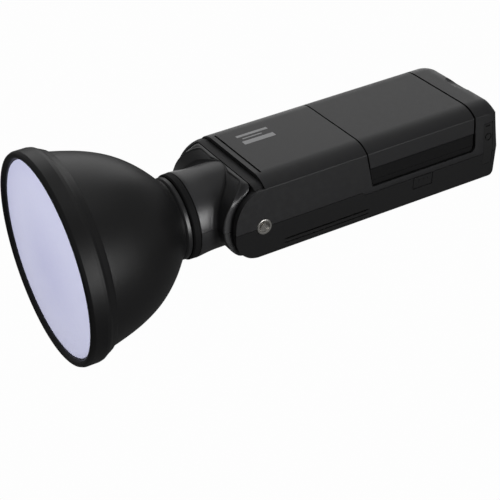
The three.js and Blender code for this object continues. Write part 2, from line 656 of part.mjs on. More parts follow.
const neckRing = latheRing([
  [21.7, NECK_FRONT_Y + 0.7], [21.7, -115], [23.4, -115], [24.7, -114.2], [25.2, -112.8],
  [25.4, NECK_FRONT_Y], [23.1, NECK_FRONT_Y], [23.1, NECK_FRONT_Y + 0.7],
], 36);
put(head, "neck_ring", neckRing, FINISH.black);

// ---------------------------------------------------------------- inside the head
const pins = (radius, y0, y1) =>
  [[0, 8], [7, -4], [-7, -4]].map(([x, up]) => rodY(radius, y0, y1, [x, AXIS_Z + up], 10));
const tubeSocket = cut(
  join(lampRod(17.8, -101.8, -99.4, 32), lampRod(10.4, -99.5, -97.6, 24)),
  ...pins(1.5, -105, -98.6),
);
put(head, "tube_socket", tubeSocket, FINISH.ceramic);
const lampBoard = cut(lampRod(19.2, -104.2, -103, 32), lampRod(13.6, -110, -100, 28));
put(head, "modelling_lamp_board", lampBoard, FINISH.ceramic);
const socketFrame = cut(lampRod(21.5, -102.6, -97.8, 36), lampRod(18.2, -110, -90, 32));
put(head, "socket_frame", socketFrame, FINISH.shellDark);
put(head, "trigger_coil", rodX(3, -8, 8, [-94.6, 36.4], 14), FINISH.brass);

// ---------------------------------------------------------------- flash tube
const tubeBase = join(lampRod(12.8, -112, -102.4, 32), ...pins(1.1, -102.5, -99.2));
put(tube, "tube_base", tubeBase, FINISH.ceramic);

// an almost closed ring whose two ends turn back to the base
const LOOP = {
  radius: 8.2,
  glassR: 1.9,
  baseY: -113,
  ringY: -128,
  bulge: 3, // how far the middle of the ring stands forward
  from: -70, // degrees
  to: 250,
  leg: 0.16, // share of the path taken by each leg
};
class TubeLoop extends THREE.Curve {
  getPoint(t, target = new THREE.Vector3()) {
    const { radius, baseY, ringY, bulge, from, to, leg } = LOOP;
    const place = (degrees, y) => {
      const [x, z] = polar(0, AXIS_Z, radius, degrees);
      return target.set(x, y, z);
    };
    const legY = (share) => baseY + (ringY - baseY) * (share / leg);
    if (t < leg) return place(from, legY(t));
    if (t > 1 - leg) return place(to, legY(1 - t));
    const share = (t - leg) / (1 - 2 * leg);
    return place(from + (to - from) * share, ringY - bulge * Math.sin(Math.PI * share));
  }
}
const glassSection = new THREE.Shape(
  arc(0, 0, LOOP.glassR, 0, 300, 5).map((point) => new THREE.Vector2(...point)),
);
const loopSettings = { steps: 26, extrudePath: new TubeLoop(), bevelEnabled: false };
const xenonTube = solid(new THREE.ExtrudeGeometry(glassSection, loopSettings));
put(tube, "xenon_tube", xenonTube, FINISH.glass);

const tubeDome = latheRing([
  [12.4, -112.4], [12.4, -139], [11.4, -144], [8.6, -148], [4.4, -150.2], [0.4, -150.8],
  [0.4, -149.4], [4, -148.8], [7.8, -146.8], [10.2, -143.2], [11.1, -138.6], [11.1, -112.4],
], 22);
put(tube, "tube_dome", tubeDome, FINISH.glass);

// ---------------------------------------------------------------- reflector
// (radius, y) on the outside of the deep bowl
const DISH = [
  [24.4, -119.6], [30.3, -124.6], [35.6, -129.7], [39.9, -134.8],
  [43.7, -139.8], [47.8, -147.4], [52.1, -157.6], [56.9, -175.3],
];
// the inside, offset square to the line through each point's neighbours; the rim replaces
// the last point
const dishInside = DISH.slice(0, -1).map(([radius, y], i) => {
  const [prevR, prevY] = DISH[Math.max(0, i - 1)];
  const [nextR, nextY] = DISH[i + 1];
  const scale = DISH_WALL / Math.hypot(nextR - prevR, nextY - prevY);
  return [radius + (nextY - prevY) * scale, y - (nextR - prevR) * scale];
});
const dish = latheRing([
  [20, -117.6], [22.6, -118.2], ...DISH,
  [57.4, -178.4], [57.4, -189.4], [55.8, -189.4], [55.6, -176.4],
  ...dishInside.reverse(), [20, -120.6],
], 44);
put(reflector, "reflector_dish", dish, FINISH.dish);
const collar = cut(
  latheRing([
    [COLLAR_R, -105], [COLLAR_R, -116.6], [22.4, -117], [22.4, -117.8], [19.7, -117.2],
    [19.7, -121.8], [18.4, -121.8], [18.4, -116], [20, -115.4], [20, -105],
  ], 32),
  // three notches in the rear edge; the negative length keeps each rod's facets in place
  ...[90, 210, 330].map((angle) => rodY(2, -104, -110, polar(0, AXIS_Z, COLLAR_R, angle), 10)),
);
put(reflector, "reflector_collar", collar, FINISH.steel);

// ---------------------------------------------------------------- diffuser cap
const diffuserRing = latheRing([
  [57.8, -177.4], [58.4, -177], [59.2, -178.4], [60.2, -180.6], [61.4, -182.4],
  [RING_R, -184.4], [RING_R, -192.2], [61.2, -193.6], [60.2, RING_FRONT_Y], [59, -193.8],
  [LENS_R + GAP, LENS_Y - 0.4], [LENS_R + GAP, -190], [57.8, -190],
], 44);
put(cap, "diffuser_ring", diffuserRing, FINISH.dish);
const diffuserDisc = lathe([
  [0, LENS_Y - 1.4], [30, LENS_Y - 1.1], [LENS_R - 1, LENS_Y],
  [LENS_R, LENS_Y + 0.4], [LENS_R, -189.8], [0, -190.4],
], 44);
put(cap, "diffuser_disc", diffuserDisc, FINISH.diffuser);

export default strobe;
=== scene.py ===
"""A monolight strobe: a body with a top battery and a tilting head that carries a dish reflector.

The pieces are drawn in millimetres in the CAD frame and turned into metres when finished.
+Z is up, the lamp points to the front at -Y, and +X is the right-hand side.
Cutters reach a few millimetres past what they cut, so that they leave no skin behind.
"""

import bpy
import bmesh
import json
import math
import numpy as np
from contextlib import contextmanager
from mathutils import Matrix, Vector

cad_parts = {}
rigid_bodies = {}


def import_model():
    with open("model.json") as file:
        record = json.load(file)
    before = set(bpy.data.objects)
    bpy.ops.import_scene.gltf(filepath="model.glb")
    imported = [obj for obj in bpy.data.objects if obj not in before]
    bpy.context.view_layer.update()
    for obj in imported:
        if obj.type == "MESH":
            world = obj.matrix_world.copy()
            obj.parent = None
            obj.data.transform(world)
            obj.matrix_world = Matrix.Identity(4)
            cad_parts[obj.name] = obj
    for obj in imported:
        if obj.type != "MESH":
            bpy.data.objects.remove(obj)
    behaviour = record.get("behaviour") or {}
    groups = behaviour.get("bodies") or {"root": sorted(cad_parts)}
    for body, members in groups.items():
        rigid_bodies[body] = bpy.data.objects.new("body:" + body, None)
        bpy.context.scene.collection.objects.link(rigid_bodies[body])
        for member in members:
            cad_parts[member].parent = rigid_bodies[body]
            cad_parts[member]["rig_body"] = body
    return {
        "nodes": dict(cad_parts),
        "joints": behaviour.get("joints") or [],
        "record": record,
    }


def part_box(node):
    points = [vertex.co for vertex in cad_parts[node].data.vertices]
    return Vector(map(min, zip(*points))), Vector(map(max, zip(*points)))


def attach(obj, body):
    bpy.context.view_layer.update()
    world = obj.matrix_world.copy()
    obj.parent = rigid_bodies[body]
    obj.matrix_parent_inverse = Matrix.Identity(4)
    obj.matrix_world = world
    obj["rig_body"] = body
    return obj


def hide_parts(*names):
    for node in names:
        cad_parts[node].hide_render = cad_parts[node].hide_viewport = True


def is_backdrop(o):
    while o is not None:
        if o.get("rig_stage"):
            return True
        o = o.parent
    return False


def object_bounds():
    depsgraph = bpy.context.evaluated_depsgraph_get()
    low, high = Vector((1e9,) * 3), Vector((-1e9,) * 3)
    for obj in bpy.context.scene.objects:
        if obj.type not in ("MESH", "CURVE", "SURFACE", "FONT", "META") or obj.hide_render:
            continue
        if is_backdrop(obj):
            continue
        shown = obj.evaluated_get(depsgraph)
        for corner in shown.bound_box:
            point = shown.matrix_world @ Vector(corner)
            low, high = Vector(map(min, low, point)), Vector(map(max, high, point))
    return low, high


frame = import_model()
_lo, _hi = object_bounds()
SCENE = bpy.context.scene
MM = 0.001


def box_mm(node):
    """The low and high corners of a CAD node's box, in millimetres."""
    lo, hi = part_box(node)
    return [v * 1000 for v in lo], [v * 1000 for v in hi]


def body_of(node):
    return frame["nodes"][node]["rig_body"]


# the material slot that each CAD node names
SLOT_OF = {
    part["node"]: part.get("material_slot")
    for part in frame["record"].get("subparts") or []
    if isinstance(part, dict) and part.get("node")
}

# ------------------------------------------------------------------ dimensions
HALF_X, REAR_Y, TOP_Z = box_mm("upper_shell")[1]

# hinge axis, along X; the numbers here serve if the frame gives no place for the joint
HINGE_Y, HINGE_Z = -76.5, 21.8
for joint in frame["joints"]:
    if joint["name"] == "head_tilt":
        keys = ("origin_m", "pos_m", "anchor_m", "pos")
        place = next((joint[key] for key in keys if joint.get(key)), None)
        if place:
            # a place under one unit on every axis is in metres
            to_mm = 1000.0 if max(abs(v) for v in place) < 1 else 1.0
            HINGE_Y, HINGE_Z = place[1] * to_mm, place[2] * to_mm

_lo, _hi = box_mm("neck_ring")
AXIS_Z = round((_lo[2] + _hi[2]) / 2, 2)  # lamp axis, along Y at x = 0

# cross section of the body
CREASE_Z = TOP_Z - 5
FLAT_X = 25.0  # half width of the flat top
SHOULDER_R = 18.125
SHOULDER_START = 46.4  # degrees above the side, where the shoulder arc begins
BASE_X = HALF_X - 3
WALL = 2.0

# seams and steps along the body
PARTING_Z = 21.5  # seam between upper and lower shell
PARTING_GAP = 0.3
STEP_Y = -11.4  # the seam drops here
DECK_LOW_Z = 19.4  # height of the seam behind the step
DECK_TOP_Z = 23.2  # deck under the battery
MID_Y = -7.85  # front wall of the battery bay
MID_SLANT = 3.4
REAR_SEAM_Y = 68.5  # rear wall of the battery bay
TOP_EDGE_Y = -74.3
REAR_RUN = 9  # length over which the rear end is drawn in
REAR_DROP = 4.5  # fall of the top over that length
PANEL_Y = REAR_Y - 3.2  # bottom of the rear panel's recess

# slot for the head between the two front ears
EAR_IN_X = 35.5
EAR_LOW_X = 33.1
EAR_LOW_Z = 9.0
SLOT_FLOOR_Z = 2.6
SLOT_R, HOOD_R, DRUM_R = 26.0, 25.65, 18.4
PIVOT_R = 4.75

# battery
GRIP_Z = 35.0  # top of the drawn-in lower side
GRIP_X = HALF_X - 1.0
BAY_GAP = 0.9  # gap in front of the battery
PACK_LOW_Z = DECK_TOP_Z + 0.32

# port cover on the right side
DOOR_LO, DOOR_HI = box_mm("port_cover")
DOOR_GAP = 0.25
DOOR_DEPTH = 1.6

# ------------------------------------------------------------------ 2-D outlines


def arc(cx, cy, radius, start, end, n):
    points = []
    for i in range(n + 1):
        a = math.radians(start + (end - start) * i / n)
        points.append((cx + radius * math.cos(a), cy + radius * math.sin(a)))
    return points


def mirror_x(points):
    return list(points) + [(-x, z) for x, z in reversed(points)]


def both_sides(half):
    """A (radius, x) profile from its half at positive x, read from the end inwards."""
    return [(r, -x) for r, x in half] + [(r, x) for r, x in reversed(half)]


def rounded(a0, a1, b0, b1, r, n=6):
    """A rectangle with rounded corners."""
    return (
        arc(a1 - r, b1 - r, r, 0, 90, n) + arc(a0 + r, b1 - r, r, 90, 180, n)
        + arc(a0 + r, b0 + r, r, 180, 270, n) + arc(a1 - r, b0 + r, r, 270, 360, n)
    )


def fillet(corners, n=5, closed=True):
    """A polygon of (a, b, corner radius) with its corners turned into arcs of n steps."""
    points = [Vector(c[:2]) for c in corners]
    out = []
    for i, p in enumerate(points):
        radius = corners[i][2]
        if radius <= 0 or (not closed and i in (0, len(points) - 1)):
            out.append((p.x, p.y))
            continue
        back, ahead = points[i - 1] - p, points[(i + 1) % len(points)] - p
        back_len, ahead_len = back.length, ahead.length
        if back_len < 1e-6 or ahead_len < 1e-6:
            out.append((p.x, p.y))
            continue
        back, ahead = back / back_len, ahead / ahead_len
        angle = math.acos(max(-1, min(1, back.dot(ahead))))
        if angle > math.pi - 0.02:  # nearly straight
            out.append((p.x, p.y))
            continue
        trim = min(radius / math.tan(angle / 2), back_len * 0.48, ahead_len * 0.48)
        radius = trim * math.tan(angle / 2)
        centre = p + (back + ahead).normalized() * (radius / math.sin(angle / 2))
        start, end = p + back * trim, p + ahead * trim
        a0 = math.atan2(start.y - centre.y, start.x - centre.x)
        a1 = math.atan2(end.y - centre.y, end.x - centre.x)
        turn = (a1 - a0 + math.pi) % (2 * math.pi) - math.pi
        for k in range(n + 1):
            a = a0 + turn * k / n
            out.append((centre.x + radius * math.cos(a), centre.y + radius * math.sin(a)))
    return out


def spline(points, n):
    """An open Catmull-Rom curve through the points, resampled to n even steps."""
    P = np.array(points, float)
    ext = np.vstack([2 * P[0] - P[1], P, 2 * P[-1] - P[-2]])
    out = []
    for i in range(1, len(ext) - 2):
        p0, p1, p2, p3 = ext[i - 1 : i + 3]
        for t in np.linspace(0, 1, 16, endpoint=False):
            out.append(0.5 * (
                (2 * p1) + (p2 - p0) * t + (2 * p0 - 5 * p1 + 4 * p2 - p3) * t**2
                + (3 * p1 - p0 - 3 * p2 + p3) * t**3
            ))
    out.append(P[-1])
    out = np.array(out)
    run = np.r_[0, np.cumsum(np.hypot(*np.diff(out, axis=0).T))]
    return [
        (float(np.interp(v, run, out[:, 0])), float(np.interp(v, run, out[:, 1])))
        for v in np.linspace(0, run[-1], n + 1)
    ]


# ------------------------------------------------------------------ working solids, millimetres
WORKING = bpy.data.collections.new("working")
SCENE.collection.children.link(WORKING)


@contextmanager
def editing(mesh):
    bm = bmesh.new()
    bm.from_mesh(mesh)
    yield bm
    bm.to_mesh(mesh)
    bm.free()


def work_object(mesh):
    ob = bpy.data.objects.new("work", mesh)
    WORKING.objects.link(ob)
    return ob


def raw_solid(verts, faces):
    mesh = bpy.data.meshes.new("work")
    mesh.from_pydata([tuple(v) for v in verts], [], faces)
    return work_object(mesh)


def solid(verts, faces):
    """A solid with doubled points merged and normals outwards."""
    ob = raw_solid(verts, faces)
    with editing(ob.data) as bm:
        bmesh.ops.remove_doubles(bm, verts=bm.verts, dist=1e-4)
        bmesh.ops.recalc_face_normals(bm, faces=bm.faces)
    return ob


def loft_faces(rings, m):
    """Faces through a number of rings of m points, closed at both ends."""
    faces = [
        [i * m + k, i * m + (k + 1) % m, (i + 1) * m + (k + 1) % m, (i + 1) * m + k]
        for i in range(rings - 1) for k in range(m)
    ]
    return faces + [list(range(m)), list(range((rings - 1) * m, rings * m))[::-1]]


def prism(points, lo, hi, place):
    n = len(points)
    verts = [place(*p, lo) for p in points] + [place(*p, hi) for p in points]
    faces = [list(range(n)), list(range(2 * n - 1, n - 1, -1))]
    faces += [[i, i + n, (i + 1) % n + n, (i + 1) % n] for i in range(n)]
    return solid(verts, faces)


def along_x(yz, x0, x1):
    return prism(yz, x0, x1, lambda a, b, c: (c, a, b))


def along_y(xz, y0, y1):
    return prism(xz, y0, y1, lambda a, b, c: (a, c, b))


def along_z(xy, z0, z1):
    return prism(xy, z0, z1, lambda a, b, c: (a, b, c))


def box(x0, x1, y0, y1, z0, z1):
    return along_z([(x0, y0), (x1, y0), (x1, y1), (x0, y1)], z0, z1)


def wide_box(half_x, y0, y1, z0, z1):
    return box(-half_x, half_x, y0, y1, z0, z1)


def revolve(profile, place, n):
    """Turns (radius, height) points about an axis; a profile off the axis closes on itself."""
    closed = profile[0][0] > 1e-6 or profile[-1][0] > 1e-6
    verts, rings = [], []
    for r, h in profile:
        if r < 1e-6:
            rings.append([len(verts)] * n)
            verts.append(place(0.0, 0.0, h))
        else:
            rings.append(list(range(len(verts), len(verts) + n)))
            for k in range(n):
                a = 2 * math.pi * k / n
                verts.append(place(r * math.cos(a), r * math.sin(a), h))
    faces = []
    m = len(profile)
    for i in range(m if closed else m - 1):
        a, b = rings[i], rings[(i + 1) % m]
        for k in range(n):
            corners = [a[k], a[(k + 1) % n], b[(k + 1) % n], b[k]]
            corners = list(dict.fromkeys(corners))
            if len(corners) > 2:
                faces.append(corners)
    return solid(verts, faces)


def lathe_x(profile, y, z, n=96):
    return revolve(profile, lambda a, b, h: (h, y + a, z + b), n)


def lathe_y(profile, x, z, n=96):
    return revolve(profile, lambda a, b, h: (x + a, h, z + b), n)


def lathe_z(profile, x, y, n=96):
    return revolve(profile, lambda a, b, h: (x + a, y + b, h), n)


def lamp_lathe(profile, n=96):
    """About the lamp axis; the profile is (radius, y)."""
    return lathe_y(profile, 0.0, AXIS_Z, n)


def rod(radius, start, end, axis, centre, n=48):
    profile = [(0, start), (radius, start), (radius, end), (0, end)]
    return {"x": lathe_x, "y": lathe_y, "z": lathe_z}[axis](profile, *centre, n)


def hinge_rod(radius, half_x, n):
    return rod(radius, -half_x, half_x, "x", (HINGE_Y, HINGE_Z), n)


def evaluated_mesh(ob):
    """The object's mesh with its modifiers applied; the modifiers are then removed."""
    graph = bpy.context.evaluated_depsgraph_get()
    graph.update()
    mesh = bpy.data.meshes.new_from_object(ob.evaluated_get(graph))
    ob.modifiers.clear()
    return mesh


def swap_mesh(ob, mesh):
    old = ob.data
    ob.data = mesh
    bpy.data.meshes.remove(old)


def discard(ob):
    mesh = ob.data
    bpy.data.objects.remove(ob)
    if mesh.users == 0:
        bpy.data.meshes.remove(mesh)


def boolean(target, others, operation):
    for other in others:
        # the fast solver returns nothing for a mesh that is not watertight
        for solver in ("MANIFOLD", "EXACT"):
            mod = target.modifiers.new("boolean", "BOOLEAN")
            mod.operation, mod.object, mod.solver = operation, other, solver
            mesh = evaluated_mesh(target)
            if len(mesh.polygons):
                break
            bpy.data.meshes.remove(mesh)
        swap_mesh(target, mesh)
        discard(other)
    return target


def cut(target, *others):
    return boolean(target, others, "DIFFERENCE")


def join(target, *others):
    return boolean(target, others, "UNION")


def meet(target, *others):
    return boolean(target, others, "INTERSECT")


def bevel(ob, width, segments=2):
    """Rounds the sharp edges of a finished solid."""
    with editing(ob.data) as bm:
        bmesh.ops.remove_doubles(bm, verts=bm.verts, dist=0.02)
        bmesh.ops.dissolve_limit(
            bm, angle_limit=math.radians(0.3), verts=bm.verts, edges=bm.edges)
    mod = ob.modifiers.new("round", "BEVEL")
    mod.width, mod.segments = width, segments
    mod.limit_method, mod.angle_limit = "ANGLE", math.radians(32)
    swap_mesh(ob, evaluated_mesh(ob))


# ------------------------------------------------------------------ shader helpers
MAT = {}


def new_material(name):
    """Registers a material; returns its node tree, its shader and its object coordinates."""
    material = bpy.data.materials.new(name)
    MAT[name] = material
    material.use_nodes = True
    tree = material.node_tree
    tree.nodes.clear()
    out = tree.nodes.new("ShaderNodeOutputMaterial")
    shader = tree.nodes.new("ShaderNodeBsdfPrincipled")
    tree.links.new(shader.outputs["BSDF"], out.inputs["Surface"])
    return tree, shader, tree.nodes.new("ShaderNodeTexCoord").outputs["Object"]


def feed(tree, socket, value):
    """Gives an input another node's output, an RGB colour or a number."""
    if isinstance(value, bpy.types.NodeSocket):
        tree.links.new(value, socket)
    elif isinstance(value, tuple):
        socket.default_value = (*value, 1)
    else:
        socket.default_value = value


def noise(tree, coord, scale, detail, rough=0.5):
    node = tree.nodes.new("ShaderNodeTexNoise")
    node.inputs["Scale"].default_value = scale
    node.inputs["Detail"].default_value = detail
    node.inputs["Roughness"].default_value = rough
    tree.links.new(coord, node.inputs["Vector"])
    return node.outputs["Fac"]


def remap(tree, value, source, to):
    """Maps the source range to another range, held at its ends."""
    node = tree.nodes.new("ShaderNodeMapRange")
    node.inputs["From Min"].default_value, node.inputs["From Max"].default_value = source
    node.inputs["To Min"].default_value, node.inputs["To Max"].default_value = to
    tree.links.new(value, node.inputs["Value"])
    return node.outputs["Result"]


def mix_colour(tree, factor, a, b):
    node = tree.nodes.new("ShaderNodeMix")
    node.data_type = "RGBA"
    feed(tree, node.inputs[6], a)
    feed(tree, node.inputs[7], b)
    feed(tree, node.inputs[0], factor)
    return node.outputs[2]


def calc(tree, operation, *values):
    node = tree.nodes.new("ShaderNodeMath")
    node.operation = operation
    for socket, value in zip(node.inputs, values):
        feed(tree, socket, value)
    return node


def bump_height(tree, shader, strength, distance):
    """Adds a bump to the shader and returns the input for its height."""
    node = tree.nodes.new("ShaderNodeBump")
    node.inputs["Strength"].default_value = strength
    node.inputs["Distance"].default_value = distance
    tree.links.new(node.outputs["Normal"], shader.inputs["Normal"])
    return node.inputs["Height"]


def scaled(colour, factor, lift=0.0):
    return tuple(min(1, c * factor + lift) for c in colour)


# ------------------------------------------------------------------ materials


def plastic(name, colour, rough, grain, grain_mm, edge_wear_and_highlight, vary=0.06, coat=0.0, spec=0.5):
    """Moulded plastic: fine grain, uneven sheen, and edges made lighter and smoother, partly
    rubbed wear and partly a painted edge highlight.
    """
    tree, shader, coord = new_material(name)
    big = noise(tree, coord, scale=28, detail=3, rough=0.55)
    mid = noise(tree, coord, scale=260, detail=4, rough=0.6)
    fine = noise(tree, coord, scale=1000 / grain_mm, detail=2, rough=0.6)
    dark = tuple(c * (1 - vary) for c in colour)
    light = tuple(c * (1 + vary) for c in colour)
    cloud = mix_colour(tree, big, dark, light)
    speck = mix_colour(tree, remap(tree, fine, source=(0.35, 0.7), to=(0, 1)), dark, light)
    base = mix_colour(tree, 0.5, cloud, speck)
    pointiness = tree.nodes.new("ShaderNodeNewGeometry").outputs["Pointiness"]
    # sharp edges are made lighter: rubbed wear, and in part a painted highlight along the edges
    edge = remap(tree, pointiness, source=(0.57, 0.7), to=(0, 1))
    patch = remap(tree, mid, source=(0.42, 0.66), to=(0, edge_wear_and_highlight))
    wear_and_highlight_mask = calc(tree, "MULTIPLY", edge, patch).outputs[0]
    base = mix_colour(tree, wear_and_highlight_mask, base, scaled(colour, 2.4, lift=0.015))
    tree.links.new(base, shader.inputs["Base Color"])
    uneven = remap(tree, mid, source=(0.3, 0.7), to=(rough - 0.015, rough + 0.015))
    sheen = calc(tree, "SUBTRACT", uneven)
    feed(tree, sheen.inputs[1], calc(tree, "MULTIPLY", wear_and_highlight_mask, 0.3).outputs[0])
    tree.links.new(sheen.outputs[0], shader.inputs["Roughness"])
    feed(tree, bump_height(tree, shader, strength=grain, distance=0.0002), fine)
    shader.inputs["Specular IOR Level"].default_value = spec
    if coat:
        shader.inputs["Coat Weight"].default_value = coat
        shader.inputs["Coat Roughness"].default_value = 0.25


def metal(name, colour, rough, brushed=0.0):
    tree, shader, coord = new_material(name)
    mid = noise(tree, coord, scale=420, detail=5, rough=0.65)
    base = mix_colour(tree, mid, scaled(colour, 0.86), scaled(colour, 1.08))
    tree.links.new(base, shader.inputs["Base Color"])
    shader.inputs["Metallic"].default_value = 1.0
    uneven = remap(tree, mid, source=(0.25, 0.75), to=(rough - 0.07, rough + 0.1))
    tree.links.new(uneven, shader.inputs["Roughness"])
    height = bump_height(tree, shader, strength=0.06 + brushed, distance=0.0001)
    feed(tree, height, noise(tree, coord, scale=2600, detail=2))


def circuit_board():
    tree, shader, coord = new_material("circuit_board")
    brick = tree.nodes.new("ShaderNodeTexBrick")
    brick.inputs["Scale"].default_value = 260
    brick.inputs["Mortar Size"].default_value = 0.03
    brick.inputs["Color1"].default_value = (0.012, 0.085, 0.035, 1)
    brick.inputs["Color2"].default_value = (0.014, 0.1, 0.045, 1)
    brick.inputs["Mortar"].default_value = (0.03, 0.17, 0.075, 1)
    tree.links.new(coord, brick.inputs["Vector"])
    tree.links.new(brick.outputs["Color"], shader.inputs["Base Color"])
    mottle = noise(tree, coord, scale=500, detail=3)
    uneven = remap(tree, mottle, source=(0.3, 0.7), to=(0.28, 0.48))
    tree.links.new(uneven, shader.inputs["Roughness"])


def glass(name, colour, rough, alpha):
    tree, shader, coord = new_material(name)
    cloud = noise(tree, coord, scale=160, detail=2)
    base = mix_colour(tree, cloud, scaled(colour, 0.95), colour)
    tree.links.new(base, shader.inputs["Base Color"])
    mottle = noise(tree, coord, scale=300, detail=2)
    uneven = remap(tree, mottle, source=(0.3, 0.7), to=(rough, rough + 0.06))
    tree.links.new(uneven, shader.inputs["Roughness"])
    shader.inputs["Alpha"].default_value = alpha
    shader.inputs["IOR"].default_value = 1.47


def diffuser_white():
    """Milky white, a little violet, with painted light across the disc and a faint moulded
    stipple.
    """
    tree, shader, coord = new_material("diffuser_white")
    cell = tree.nodes.new("ShaderNodeTexVoronoi")
    cell.inputs["Scale"].default_value = 900
    tree.links.new(coord, cell.inputs["Vector"])
    # distance from a point near the lamp axis, measured across the disc
    flat = tree.nodes.new("ShaderNodeVectorMath")
    flat.operation = "MULTIPLY"
    flat.inputs[1].default_value = (1, 0, 1)
    tree.links.new(coord, flat.inputs[0])
    dist = tree.nodes.new("ShaderNodeVectorMath")
    dist.operation = "DISTANCE"
    dist.inputs[1].default_value = (0.004, 0, (AXIS_Z - 3) * MM)
    tree.links.new(flat.outputs[0], dist.inputs[0])
    # painted light: a touch darker in the middle and at the edge than in the ring between
    painted_light_bands = tree.nodes.new("ShaderNodeValToRGB")
    stops = painted_light_bands.color_ramp
    stops.interpolation = "B_SPLINE"
    stops.elements[0].position, stops.elements[0].color = 0.0, (0.560, 0.568, 0.795, 1)
    stops.elements[1].position, stops.elements[1].color = 1.0, (0.575, 0.585, 0.805, 1)
    for position, colour in (
        (0.26, (0.575, 0.585, 0.805, 1)),
        (0.62, (0.700, 0.715, 0.895, 1)),
        (0.86, (0.665, 0.675, 0.870, 1)),
    ):
        stops.elements.new(position).color = colour
    across = remap(tree, dist.outputs["Value"], source=(0.0, 0.06), to=(0.0, 1.0))
    tree.links.new(across, painted_light_bands.inputs[0])
    cloud = noise(tree, coord, scale=30, detail=3)
    base = mix_colour(tree, cloud, painted_light_bands.outputs[0], (0.640, 0.650, 0.855))
    tree.links.new(base, shader.inputs["Base Color"])
    mottle = noise(tree, coord, scale=300, detail=3)
    uneven = remap(tree, mottle, source=(0.3, 0.7), to=(0.42, 0.55))
    tree.links.new(uneven, shader.inputs["Roughness"])
    shader.inputs["Subsurface Weight"].default_value = 0.15
    shader.inputs["Subsurface Radius"].default_value = (0.004, 0.004, 0.004)
    height = bump_height(tree, shader, strength=0.12, distance=0.0002)
    feed(tree, height, cell.outputs["Distance"])


# name, colour, roughness, grain strength, grain size in mm, edge wear and painted edge highlight,
# other settings
PLASTICS = [
    ("shell", (0.020, 0.020, 0.0215), 0.46, 0.22, 0.42, 0.35, {}),
    # a darker copy of the shell plastic; on the lower shell and the release buttons the darkness
    # is painted shade
    ("shell_dark", (0.0115, 0.0115, 0.0122), 0.5, 0.22, 0.42, 0.3, {}),
    ("head_shell", (0.0200, 0.0200, 0.0212), 0.37, 0.16, 0.42, 0.3, {}),
    # a darker copy of the head plastic for the lower half: painted shade
    ("head_shell_dark", (0.0130, 0.0130, 0.0137), 0.40, 0.16, 0.42, 0.3, {}),
    ("battery_shell", (0.0205, 0.0205, 0.022), 0.45, 0.22, 0.42, 0.35, {}),
    # a much darker copy of the battery plastic: painted shade on the drawn-in lower sides
    ("battery_grip", (0.0070, 0.0070, 0.0075), 0.55, 0.22, 0.42, 0.3, {"spec": 0.24}),
    ("barrel_black", (0.022, 0.022, 0.023), 0.6, 0.35, 0.6, 0.2, {}),
    ("collar_black", (0.0095, 0.0095, 0.010), 0.36, 0.08, 0.4, 0.3, {}),
    ("dish_black", (0.0125, 0.0125, 0.013), 0.38, 0.12, 0.5, 0.3, {"vary": 0.08}),
    ("ring_black", (0.0085, 0.0085, 0.009), 0.42, 0.12, 0.5, 0.3, {"vary": 0.08}),
    # the neck's own black; on the walls beside the battery it is painted shade
    ("neck_black", (0.011, 0.011, 0.0115), 0.7, 0.25, 0.4, 0.2, {"spec": 0.3}),
    ("rubber", (0.012, 0.012, 0.0125), 0.72, 0.4, 0.5, 0.1, {}),
    ("button_grey", (0.045, 0.045, 0.048), 0.42, 0.1, 0.3, 0.35, {}),
    ("button_red", (0.36, 0.022, 0.016), 0.38, 0.1, 0.3, 0.2, {}),
    ("ceramic", (0.74, 0.71, 0.64), 0.45, 0.15, 0.4, 0.05, {"vary": 0.05}),
    ("capacitor_sleeve", (0.012, 0.022, 0.09), 0.32, 0.05, 0.8, 0.1, {"vary": 0.12}),
    ("cell_wrap", (0.05, 0.2, 0.32), 0.35, 0.1, 1.2, 0.1, {"vary": 0.15}),
    ("screen", (0.004, 0.006, 0.0065), 0.1, 0.01, 0.6, 0.05, {"vary": 0.2, "coat": 0.6}),
]
for *_row, _extra in PLASTICS:
    plastic(*_row, **_extra)
metal("reflector_silver", (0.78, 0.79, 0.81), rough=0.24, brushed=0.1)
metal("bright_nickel", (0.82, 0.80, 0.76), rough=0.16)
metal("steel", (0.42, 0.425, 0.44), rough=0.3, brushed=0.04)
metal("brass", (0.66, 0.44, 0.16), rough=0.28)
circuit_board()
glass("tube_glass", (0.93, 0.96, 0.98), rough=0.03, alpha=0.35)
glass("frosted_glass", (0.95, 0.96, 0.97), rough=0.25, alpha=0.45)
diffuser_white()
plastic("segment_grey", (0.42, 0.47, 0.44), rough=0.4, grain=0.02, grain_mm=0.5, edge_wear_and_highlight=0.02,
        vary=0.05)
plastic("paint_white", (0.62, 0.62, 0.63), rough=0.5, grain=0.1, grain_mm=0.4, edge_wear_and_highlight=0.1,
        vary=0.08)

# ------------------------------------------------------------------ finished pieces


